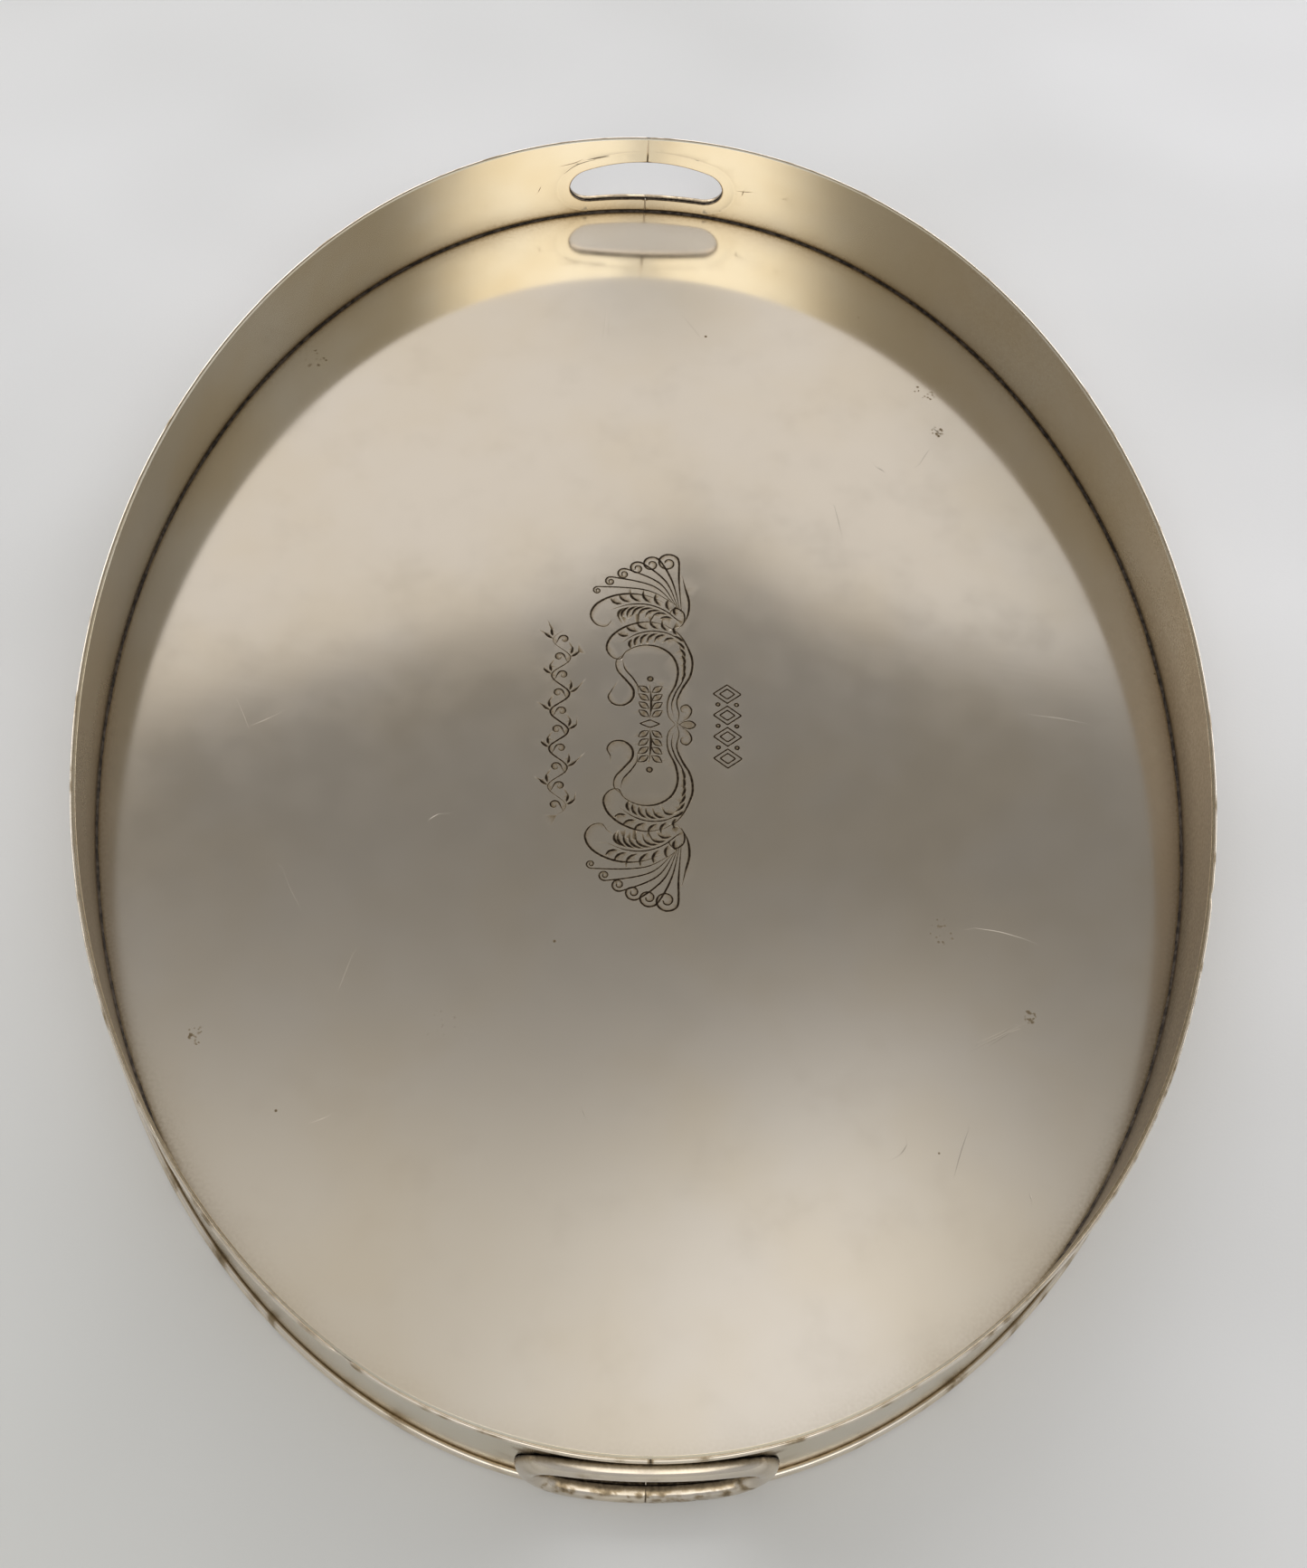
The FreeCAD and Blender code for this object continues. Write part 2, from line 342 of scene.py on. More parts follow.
def make_piece(
    name: str, points: Array, faces: list, tarnish: Array, slot: Slot, sharp_degrees: float = 35.0
) -> bpy.types.Object:
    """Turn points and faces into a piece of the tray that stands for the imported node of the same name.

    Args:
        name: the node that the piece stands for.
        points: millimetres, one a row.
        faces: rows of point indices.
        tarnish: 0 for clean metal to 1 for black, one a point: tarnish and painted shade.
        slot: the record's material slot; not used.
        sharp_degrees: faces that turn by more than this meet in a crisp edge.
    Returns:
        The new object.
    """
    mesh = bpy.data.meshes.new(name + "_looks")
    mesh.from_pydata((np.asarray(points) * MM).tolist(), [], [tuple(int(i) for i in f) for f in faces])
    mesh.validate()
    mesh.shade_smooth()
    mesh.set_sharp_from_angle(angle=math.radians(sharp_degrees))
    attribute = mesh.attributes.new(TARNISH_AND_SHADE, "FLOAT", "POINT")
    attribute.data.foreach_set("value", np.clip(tarnish, 0.0, 1.0).astype(np.float32))
    piece = bpy.data.objects.new(name + "_looks", mesh)
    bpy.context.scene.collection.objects.link(piece)
    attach(piece, BODY)
    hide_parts(name)
    LOG.info("%s: %d points, %d faces", piece.name, len(mesh.vertices), len(mesh.polygons))
    return piece


# ---------------------------------------------------------------------------------------------------------
# Engraving
# ---------------------------------------------------------------------------------------------------------


def flow(points: list[tuple[float, float]], step: float = CUT_STEP) -> Array:
    """A smooth curve through a few points (centripetal Catmull-Rom).

    Args:
        points: the points to pass through.
        step: distance between the points that come back.
    Returns:
        Evenly spaced points, one a row.
    """
    p = np.array(points, float)
    if len(p) == 2:
        p = np.array([p[0], p.mean(0), p[1]])
    p = np.vstack([2 * p[0] - p[1], p, 2 * p[-1] - p[-2]])
    knots = np.concatenate([[0.0], np.cumsum(np.linalg.norm(np.diff(p, axis=0), axis=1) ** 0.5)])
    curve, steps_a_span = [], 24
    for i in range(1, len(p) - 2):
        t0, t1, t2, t3 = knots[i - 1 : i + 3]
        t = np.linspace(t1, t2, steps_a_span, endpoint=False)[:, None]
        a1 = (t1 - t) / (t1 - t0) * p[i - 1] + (t - t0) / (t1 - t0) * p[i]
        a2 = (t2 - t) / (t2 - t1) * p[i] + (t - t1) / (t2 - t1) * p[i + 1]
        a3 = (t3 - t) / (t3 - t2) * p[i + 1] + (t - t2) / (t3 - t2) * p[i + 2]
        b1 = (t2 - t) / (t2 - t0) * a1 + (t - t0) / (t2 - t0) * a2
        b2 = (t3 - t) / (t3 - t1) * a2 + (t - t1) / (t3 - t1) * a3
        curve.append((t2 - t) / (t2 - t1) * b1 + (t - t1) / (t2 - t1) * b2)
    return respace(np.vstack([*curve, p[-2][None]]), step)


def respace(points: Array, step: float) -> Array:
    """Points evenly spaced along a line.

    Args:
        points: the line's points.
        step: the distance wanted.
    Returns:
        New points from the line's start to its end.
    """
    walk = np.concatenate([[0.0], np.cumsum(np.linalg.norm(np.diff(points, axis=0), axis=1))])
    even = np.linspace(0.0, walk[-1], max(3, int(round(walk[-1] / step)) + 1))
    return np.stack([np.interp(even, walk, points[:, 0]), np.interp(even, walk, points[:, 1])], axis=-1)


def spiral(centre: tuple[float, float], radii: tuple[float, float], start: float, sweep: float) -> list:
    """Points of a curl that winds in.

    Args:
        centre: the curl's middle.
        radii: its radius at the start and at the end.
        start: the angle it starts at, in degrees.
        sweep: the angle it turns through, positive counter-clockwise.
    Returns:
        Points as pairs.
    """
    degrees_a_point = 25
    share = np.linspace(0.0, 1.0, max(4, int(abs(sweep) / degrees_a_point)))
    angle = np.radians(start + sweep * share)
    radius = radii[0] + (radii[1] - radii[0]) * share
    return list(zip(centre[0] + radius * np.cos(angle), centre[1] + radius * np.sin(angle)))


@dataclass
class Stroke:
    """One cut of the graver: a line whose width swells and fades, with a V-shaped section."""

    points: Array
    wide: float
    start_share: float = 0.15
    end_share: float = 0.15
    closed: bool = False
    taper: float = 0.35
    shoulder: float = 0.8

    def widths(self) -> Array:
        """The cut's full width at each point."""
        if self.closed:
            return np.full(len(self.points), self.wide)
        share = np.linspace(0.0, 1.0, len(self.points))
        rise = np.minimum(1.0, self.start_share + (1 - self.start_share) * share / self.taper)
        fall = np.minimum(1.0, self.end_share + (1 - self.end_share) * (1 - share) / self.taper)
        return self.wide * np.minimum(rise, fall)

    def normals(self) -> Array:
        """Unit vectors to the left of the line."""
        if self.closed:
            along = np.roll(self.points, -1, axis=0) - np.roll(self.points, 1, axis=0)
        else:
            along = np.gradient(self.points, axis=0)
        along = along / np.linalg.norm(along, axis=1)[:, None]
        return np.stack([-along[:, 1], along[:, 0]], axis=-1)

    def banks(self, share: float = 1.0) -> tuple[Array, Array]:
        """The left and right edges of the cut, or lines that run at a share of the way out to them."""
        reach = self.normals() * self.widths()[:, None] / 2 * share
        return self.points + reach, self.points - reach

    def draw(self, plan: Plan) -> None:
        """Add the cut's edges, the lines where its walls start and its bottom line to a plan."""
        left, right = self.banks()
        if self.closed:
            for loop in (left, right, *self.banks(self.shoulder), self.points):
                plan.line(loop, closed=True)
            return
        plan.line(np.vstack([left, right[::-1]]), closed=True)
        for line in (*self.banks(self.shoulder), self.points):
            plan.line(line)

    def deepness(self, at: Array) -> Array:
        """How deep the cut is at some points: 1 on its bottom line, 0 at its edges and outside.

        Args:
            at: points of the plan.
        Returns:
            The share at each point, times the width there over the cut's full width.
        """
        starts, ends, wide = self.points, np.roll(self.points, -1, axis=0), self.widths()
        next_wide = np.roll(wide, -1)
        if not self.closed:
            starts, ends, wide, next_wide = starts[:-1], ends[:-1], wide[:-1], next_wide[:-1]
        span = ends - starts
        t = np.einsum("ijk,jk->ij", at[:, None] - starts[None], span) / np.sum(span * span, axis=1)
        t = np.clip(t, 0.0, 1.0)
        gap = np.linalg.norm(at[:, None] - starts[None] - t[..., None] * span[None], axis=2)
        here = wide + t * (next_wide - wide)
        return np.max(np.clip(here - 2 * gap, 0.0, None), axis=1) / self.wide

    def mirrored(self) -> "Stroke":
        """The same cut on the other side of the ornament's middle."""
        return Stroke(self.points * [-1, 1], self.wide, self.start_share, self.end_share, self.closed)


@dataclass
class Ornament:
    """Scroll-and-leaf engraving in three bands along the tray: a vine, a cartouche and a border.

    It is drawn flat: the first number runs along the tray, the second up the ornament from its middle.
    """

    fine: float = 0.85
    bold: float = 1.25
    vine_at: float = 35.5
    vine_half: float = 45.0
    border_at: float = -34.6
    border_half: float = 21.0
    lozenges: int = 4

    def strokes(self) -> list[Stroke]:
        """Every cut of the ornament."""
        half = self._stem() + self._leaves() + self._fan() + self._inner_scroll() + self._sprig()
        whole = half + [stroke.mirrored() for stroke in half]
        return whole + self._middle() + self._vine() + self._border()

    def _stem(self) -> list[Stroke]:
        """The double S-scroll under the cartouche, which turns up round the cartouche's end."""
        under = [(0.6, -13.6), (4.6, -14.4), (11.0, -13.4), (17.5, -15.6), (24.0, -19.0), (31.5, -20.0)]
        under += [(39.0, -17.8), (45.4, -14.2), (49.6, -8.6)]
        inner = [(0.4, -12.6), (3.4, -10.2), (7.8, -9.4), (13.0, -10.0), (20.0, -13.0), (27.8, -13.8)]
        inner += [(34.4, -11.2), (38.4, -5.6), (39.0, 1.6), (35.8, 8.0), (31.6, 10.6)]
        double = [(4.2, -12.0), (9.4, -11.2), (15.4, -12.8), (22.0, -16.0), (28.6, -17.2)]
        cuts = [
            Stroke(flow(under), self.bold, 0.3, 0.3),
            Stroke(flow(inner), self.bold, 0.3, 0.3),
            Stroke(flow(double), self.fine),
        ]
        for number in range(6):
            root = (21.5 + 3.9 * number, -15.4 - 1.6 * math.sin(0.5 * number))
            cuts.append(self._comma(root, -28.0 + 13.0 * number, 5.2, 46.0))
        return cuts

    def _comma(self, root: tuple[float, float], heading: float, length: float, bend: float) -> Stroke:
        """A short hooked cut that starts thin and ends thick, as the lobes of a leaf are cut.

        Args:
            root: where it starts.
            heading: the direction it starts in, in degrees.
            length: its length.
            bend: how far it turns on its way, in degrees, positive counter-clockwise.
        Returns:
            The cut.
        """
        count = 8
        share = np.linspace(0.0, 1.0, count + 1)[:-1]
        angle = np.radians(heading + bend * share**1.6)
        steps = np.stack([np.cos(angle), np.sin(angle)], axis=-1) * length / count
        points = np.vstack([[root], np.array(root) + np.cumsum(steps, axis=0)])
        return Stroke(respace(points, CUT_STEP), self.bold * 1.15, 0.1, 0.6)

    def _leaf(self, spine: list, lobes: tuple[int, int], reach: tuple[float, float]) -> list[Stroke]:
        """A plume: its midrib and a row of hooked cuts on each side.

        Args:
            spine: the midrib's points, root first.
            lobes: how many hooked cuts stand left and right of the midrib.
            reach: the longest one on each side.
        Returns:
            The leaf's cuts.
        """
        rib = flow(spine)
        cuts = [Stroke(rib, self.fine, 0.8, 0.2)]
        for hand, count, longest in ((1, lobes[0], reach[0]), (-1, lobes[1], reach[1])):
            for number in range(count):
                share = 0.06 + 0.80 * number / (count - 1)
                spot = int(share * (len(rib) - 2))
                ahead = rib[spot + 1] - rib[spot]
                heading = math.degrees(math.atan2(ahead[1], ahead[0]))
                away = np.array([-ahead[1], ahead[0]]) / np.linalg.norm(ahead) * hand * 1.1
                length = longest * (0.62 + 0.38 * math.sin(math.pi * share))
                root = tuple(rib[spot] + away)
                cuts.append(self._comma(root, heading + hand * 16.0, length, hand * 88.0))
        return cuts

    def _leaves(self) -> list[Stroke]:
        """Two plumes that rise from the stem, the outer one the taller, each hooked over at its tip."""
        inner = [(43.2, -14.0), (45.8, -8.6), (46.4, -2.0), (44.4, 4.4), (40.6, 9.6)]
        outer = [(52.6, -13.6), (57.4, -8.0), (60.2, -0.4), (59.8, 7.6), (57.0, 14.6)]
        plumes = self._leaf(inner, (6, 6), (6.6, 6.4)) + self._leaf(outer, (8, 7), (8.0, 7.2))
        hook_in = [(49.6, -8.6), (51.2, -1.6), (49.8, 5.4), (46.4, 11.4), (41.6, 15.4), (36.4, 16.4)]
        hook_in += [(32.4, 13.8), (31.8, 10.4), (34.6, 8.8)]
        hook_out = [(61.4, -8.0), (64.8, 0.0), (65.4, 8.6), (63.0, 16.6), (58.6, 22.0), (53.4, 23.6)]
        hook_out += [(49.0, 21.0), (48.2, 17.0), (51.0, 14.8)]
        return plumes + [
            Stroke(flow(hook_in), self.bold, 0.3, 0.3),
            Stroke(flow(hook_out), self.bold, 0.1, 0.3),
        ]

    def _fan(self) -> list[Stroke]:
        """Six stems that spread from the end of the stem, each ending in a curl, the lowest the largest."""
        cuts = []
        for number in range(6):
            share = number / 5
            size = 5.0 - 3.0 * share**0.8
            centre = (82.4 - 15.6 * share**1.7, -9.4 + 30.4 * share**0.9)
            root = (56.2 + 4.6 * share, -15.4 + 3.0 * share)
            curl = spiral(centre, (size, 0.24 * size), -62.0 + 48.0 * share, 500.0)
            first = curl[0]
            bow = (
                root[0] + 0.58 * (first[0] - root[0]) + 2.0 * share,
                root[1] + 0.34 * (first[1] - root[1]) + 0.6 * (1 - share),
            )
            wide = self.fine * (1.3 - 0.3 * share)
            cuts.append(Stroke(flow([root, bow] + curl, TIGHT_STEP), wide, 0.3, 0.7))
        base = [(49.0, -15.4), (55.0, -18.0), (62.0, -18.6), (69.0, -17.0), (75.0, -15.8)]
        cuts.append(Stroke(flow(base), self.bold))
        small = [(47.4, -13.4), (51.6, -16.4), (56.4, -16.2), (58.6, -12.8), (56.2, -10.4), (53.8, -12.0)]
        cuts.append(Stroke(flow(small), self.fine))
        return cuts

    def _inner_scroll(self) -> list[Stroke]:
        """The double scroll that closes the cartouche's upper corner, with a curl at its end."""
        first = [(34.6, 8.6), (31.0, 12.2), (26.2, 11.8), (21.2, 8.0), (16.6, 4.9), (12.0, 5.2), (8.8, 8.8)]
        curl = [(9.2, 13.2), (12.6, 15.4), (16.0, 14.0)]
        second = [(31.6, 9.6), (27.0, 8.6), (22.4, 5.2), (18.0, 2.9), (14.4, 2.9)]
        return [Stroke(flow(first + curl), self.bold, 0.2, 0.5), Stroke(flow(second), self.fine)]

    def _sprig(self) -> list[Stroke]:
        """Half of a laurel sprig inside the cartouche, and the ring that ends it."""
        cuts = [Stroke(flow([(2.4, -2.2), (9.0, -2.7), (17.6, -2.2)]), self.bold)]
        for number in range(4):
            at = 3.4 + 4.0 * number
            for hand in (1, -1):
                root, tip = (at, -2.4 + 0.6 * hand), (at + 3.2, -2.4 + 5.0 * hand)
                belly = ((root[0] + tip[0]) / 2, (root[1] + tip[1]) / 2)
                for bow in (1.1, -1.1):
                    side = (belly[0] + bow * hand, belly[1] - 0.7 * bow)
                    cuts.append(Stroke(flow([root, side, tip], TIGHT_STEP), self.fine, 0.5, 0.5))
        return cuts + [self._dot((22.2, -2.2), 1.15)]

    def _middle(self) -> list[Stroke]:
        """What stands on the ornament's own axis: a lozenge and the small loop that joins the two stems."""
        lozenge = [(0.0, 2.0), (1.9, -2.2), (0.0, -6.4), (-1.9, -2.2)]
        loop = [(-1.6, -12.8), (1.5, -16.6), (1.7, -19.6), (0.0, -21.2), (-1.7, -19.6), (-1.5, -16.6)]
        loop.append((1.6, -12.8))
        curl = [(1.0, -14.4), (3.4, -18.2), (7.2, -19.6), (9.8, -17.6), (8.6, -15.2), (6.2, -15.6)]
        curl.append((6.4, -17.2))
        cuts = [self._outline(lozenge), Stroke(flow(loop, TIGHT_STEP), self.fine)]
        for hand in (1, -1):
            cuts.append(Stroke(flow([(x * hand, y) for x, y in curl], TIGHT_STEP), self.fine))
        return cuts

    def _outline(self, corners: list[tuple[float, float]]) -> Stroke:
        """A fine cut that goes round straight-sided from corner to corner."""
        return Stroke(respace(np.array(corners + corners[:1]), CUT_STEP)[:-1], self.fine, closed=True)

    def _dot(self, centre: tuple[float, float], radius: float) -> Stroke:
        """A small fine ring."""
        return Stroke(np.array(spiral(centre, (radius, radius), 0.0, 360.0)[:-1]), self.fine, closed=True)

    def _vine(self) -> list[Stroke]:
        """A running vine: a wave with a curl and two small leaves in each bend."""
        wave, tall = 18.0, 3.9
        along = np.linspace(-self.vine_half, self.vine_half, 61)
        height = self.vine_at + tall * np.sin(2 * math.pi * along / wave)
        cuts = [Stroke(flow(list(zip(along, height))), 0.8 * self.bold, 0.2, 0.2)]
        bends = int(2 * self.vine_half / (wave / 2))
        for number in range(bends):
            at = -self.vine_half + wave / 4 + number * wave / 2
            up = 1 if math.sin(2 * math.pi * at / wave) > 0 else -1
            root = (at - 2.6, self.vine_at + 0.82 * up * tall)
            curl = spiral((at + 0.4, self.vine_at - 0.9 * up), (2.3, 0.7), 90.0 * up, -up * 400.0)
            inner = (at - 1.2, self.vine_at + 0.55 * up * tall)
            cuts.append(Stroke(flow([root, inner] + curl[1:], TIGHT_STEP), self.fine))
            tip = (at + 0.6, self.vine_at + up * tall)
            cuts.append(self._comma(tip, 62.0 * up, 4.2, -30.0 * up))
            cuts.append(self._comma((tip[0] + 1.2, tip[1]), 20.0 * up, 3.6, -30.0 * up))
        return cuts

    def _border(self) -> list[Stroke]:
        """A row of lozenges in double outline, with two dots between each two."""
        cuts, y = [], self.border_at
        pitch = 2 * self.border_half / self.lozenges
        for number in range(self.lozenges):
            at = -self.border_half + pitch * (number + 0.5)
            for wide, tall in ((4.6, 5.9), (2.5, 3.2)):
                cuts.append(self._outline([(at + wide, y), (at, y + tall), (at - wide, y), (at, y - tall)]))
        for number in range(1, self.lozenges):
            at = -self.border_half + pitch * number
            for hand in (1, -1):
                cuts.append(self._dot((at, y + 3.9 * hand), 0.8))
        return cuts


# ---------------------------------------------------------------------------------------------------------
# Finishes
# ---------------------------------------------------------------------------------------------------------


def linear(code: str) -> tuple[float, float, float, float]:
    """Turn an sRGB hex colour into Blender's linear values.

    Args:
        code: the colour, such as "#d8cfc4".
    Returns:
        Red, green, blue and alpha.
    """
    parts = [int(code[i : i + 2], 16) / 255 for i in (1, 3, 5)]
    red, green, blue = (c / 12.92 if c <= 0.04045 else ((c + 0.055) / 1.055) ** 2.4 for c in parts)
    return red, green, blue, 1.0


def add(tree: Tree, kind: str, settings: dict | None = None, **sockets: object) -> Node:
    """Add a shader node with its settings and links.

    Args:
        tree: the node tree.
        kind: the node's type without its first word, such as "Math".
        settings: the node's own properties.
        sockets: for each input, by its name with _ for a space, or in0, in1 ...: a value, an output socket,
            or a node, which stands for its first output in use.
    Returns:
        The new node.
    """
    node = tree.nodes.new("ShaderNode" + kind)
    for key, value in (settings or {}).items():
        setattr(node, key, value)
    for key, value in sockets.items():
        if key.startswith("in") and key[2:].isdigit():
            socket = node.inputs[int(key[2:])]
        else:
            socket = node.inputs[key.replace("_", " ")]
        if isinstance(value, Node):
            value = next(output for output in value.outputs if output.enabled)
        if isinstance(value, Socket):
            tree.links.new(value, socket)
        else:
            socket.default_value = value
    return node


def fit(tree: Tree, shader: Node, **nodes: Node) -> None:
    """Link nodes to a shader's inputs.

    Args:
        tree: the node tree.
        shader: the shader.
        nodes: a node for each input, by its name with _ for a space.
    """
    for name, node in nodes.items():
        output = next(output for output in node.outputs if output.enabled)
        tree.links.new(output, shader.inputs[name.replace("_", " ")])


def new_finish(name: str) -> tuple[bpy.types.Material, Node, Socket]:
    """Start a material.

    Args:
        name: its name.
    Returns:
        The material, its shader, and the coordinates that are fixed to the piece.
    """
    material = bpy.data.materials.new(name)
    material.use_nodes = True
    place = add(material.node_tree, "TexCoord").outputs["Object"]
    return material, material.node_tree.nodes["Principled BSDF"], place


def per(size_mm: float) -> float:
    """The texture scale that makes a pattern's parts a given size."""
    return 1.0 / (size_mm * MM)


@dataclass(frozen=True)
class SatinPlate:
    """Silver plate over brass, buffed to a satin and handled for decades.

    A soft wheel leaves the plate semi-gloss: it mirrors the room in soft shapes, and never sharply. The
    plate has worn thin, so brass warms it in broad patches. Sulphur darkens whatever the cloth doesn't
    reach: cuts, joints and corners, which the tarnish attribute marks. The same attribute also
    carries painted shade: on the wires' undersides, in the grooves beside them, where the rings meet the
    wall, and in part on the wall's outer face.
    """

    name: str
    silver: str = "#ebe1d2"
    champagne: str = "#e9ddca"
    amber: str = "#a8967a"
    black: str = "#251d16"
    smudge: str = "#a3937c"
    roughness: float = 0.105
    crust_dull: float = 0.38
    patch_mm: float = 85.0
    smudge_mm: float = 24.0
    grain_mm: float = 1.3
    speck_apart_mm: float = 38.0
    speck_dark: float = 0.55
    wave_mm: float = 70.0
    wave_tall_mm: float = 0.035
    hairline_mm: float = 0.9
    hairline_tall_mm: float = 0.0007
    polish_turns: tuple[float, float] = (0.35, 1.75)
    film: float = 0.06

    def _hairlines(self, tree: Tree, place: object, turn: float) -> Node:
        """Fine polishing lines along one direction.

        Real ones are a few hundredths of a millimetre wide, too fine to show, so they are drawn coarser.

        Args:
            tree: the node tree.
            place: the coordinates that are fixed to the piece.
            turn: the angle of the lines about Z, in radians.
        Returns:
            The lines' height as a node.
        """
        laid = add(tree, "VectorRotate", {"rotation_type": "Z_AXIS"}, Vector=place, Angle=turn)
        long = add(tree, "VectorMath", TIMES, in0=laid, in1=(1.0, 0.03, 1.0))
        return add(tree, "TexNoise", Vector=long, Scale=per(self.hairline_mm), Detail=1.0)

    def _colour(self, tree: Tree, place: object, smudges: object, tarnished_and_shaded: object) -> Node:
        """Mix the colour: brass shows in patches a hand across, and smudges, tarnish and painted shade lie
        over it.

        Args:
            tree: the node tree.
            place: the coordinates that are fixed to the piece.
            smudges: how smudged the plate is.
            tarnished_and_shaded: how dark it is made, by tarnish and by painted shade.
        Returns:
            The colour as a node.
        """
        clouds = add(tree, "TexNoise", Vector=place, Scale=per(self.patch_mm), Detail=3.0)
        patches = add(tree, "MapRange", EASED, Value=clouds, in1=0.38, in2=0.66)
        clean = add(tree, "Mix", COLOURS, in0=patches, in6=linear(self.silver), in7=linear(self.champagne))
        thick = add(tree, "MapRange", EASED, Value=smudges, in1=0.50, in2=0.80, in4=self.film)
        filmed = add(tree, "Mix", COLOURS, in0=thick, in6=clean, in7=linear(self.smudge))
        yellow = add(tree, "MapRange", EASED, Value=tarnished_and_shaded, in2=0.45)
        yellowed = add(tree, "Mix", COLOURS, in0=yellow, in6=filmed, in7=linear(self.amber))
        black = add(tree, "MapRange", EASED, Value=tarnished_and_shaded, in1=0.22, in2=0.95)
        return add(tree, "Mix", COLOURS, in0=black, in6=yellowed, in7=linear(self.black))

    def _relief(self, tree: Tree, place: object) -> Node:
        """Wave the sheet a little, which bends the soft shapes it mirrors, and lay the polishing lines.

        Args:
            tree: the node tree.
            place: the coordinates that are fixed to the piece.
        Returns:
            The surface's direction as a node.
        """
        waves = add(tree, "TexNoise", Vector=place, Scale=per(self.wave_mm), Detail=2.0)
        wavy = add(tree, "Bump", Height=waves, Distance=self.wave_tall_mm * MM, Strength=1.0)
        first, second = (self._hairlines(tree, place, turn) for turn in self.polish_turns)
        lines = add(tree, "Math", {"operation": "ADD"}, in0=first, in1=second)
        tall = self.hairline_tall_mm * MM
        return add(tree, "Bump", Height=lines, Distance=tall, Strength=1.0, Normal=wavy)

    def build(self) -> bpy.types.Material:
        """Make the material.

        Returns:
            The new material.
        """
        material, shader, place = new_finish(self.name)
        tree = material.node_tree
        # The attribute holds tarnish and also painted shade, and both darken the plate alike.
        tarnish = add(tree, "Attribute", {"attribute_name": TARNISH_AND_SHADE}).outputs["Fac"]
        smudges = add(tree, "TexNoise", Vector=place, Scale=per(self.smudge_mm), Detail=5.0)
        # Specks of tarnish the size of a pinhead, few and far between.
        cells = add(tree, "TexVoronoi", Vector=place, Scale=per(self.speck_apart_mm), Randomness=1.0)
        darkest = self.speck_dark
        specks = add(tree, "MapRange", EASED, Value=cells, in1=0.010, in2=0.022, in3=darkest, in4=0.0)
        crumbs = add(tree, "TexNoise", Vector=place, Scale=per(self.grain_mm), Detail=3.0)
        grain = add(tree, "MapRange", EASED, Value=crumbs, in1=0.30, in2=0.70, in3=0.86, in4=1.08)
        dark = add(tree, "Math", {"operation": "MULTIPLY", "use_clamp": True}, in0=tarnish, in1=grain)
        tarnished_and_shaded = add(tree, "Math", {"operation": "MAXIMUM"}, in0=dark, in1=specks)

        # Tarnish is a crust, so it is dull; smudges blur the mirror a little.
        low, high = self.roughness - 0.008, self.roughness + 0.02
        blur = add(tree, "MapRange", EASED, Value=smudges, in1=0.35, in2=0.75, in3=low, in4=high)
        dull = add(tree, "Math", {"operation": "MULTIPLY_ADD"}, in0=tarnished_and_shaded, in1=self.crust_dull, in2=blur)
        colour = self._colour(tree, place, smudges, tarnished_and_shaded)
        fit(tree, shader, Base_Color=colour, Roughness=dull, Normal=self._relief(tree, place))
        shader.inputs["Metallic"].default_value = 1.0
        return material


@dataclass(frozen=True)
class OldSolder:
    """Soft lead-tin solder that was wiped along the joint, and has since gone brown-black and dull."""

    name: str = "old_solder"
    grey: str = "#5d5247"
    black: str = "#1d1712"
    roughness: float = 0.55
    metallic: float = 0.8
    lump_mm: float = 2.2
    lump_tall_mm: float = 0.12

    def build(self) -> bpy.types.Material:
        """Make the material.

        Returns:
            The new material.
        """
        material, shader, place = new_finish(self.name)
        tree = material.node_tree
        lumps = add(tree, "TexNoise", Vector=place, Scale=per(self.lump_mm), Detail=4.0)
        share = add(tree, "MapRange", EASED, Value=lumps, in1=0.35, in2=0.70, in3=0.95, in4=0.35)
        colour = add(tree, "Mix", COLOURS, in0=share, in6=linear(self.grey), in7=linear(self.black))
        bump = add(tree, "Bump", Height=lumps, Distance=self.lump_tall_mm * MM, Strength=1.0)
        fit(tree, shader, Base_Color=colour, Normal=bump)
        shader.inputs["Metallic"].default_value = self.metallic
        shader.inputs["Roughness"].default_value = self.roughness
        return material


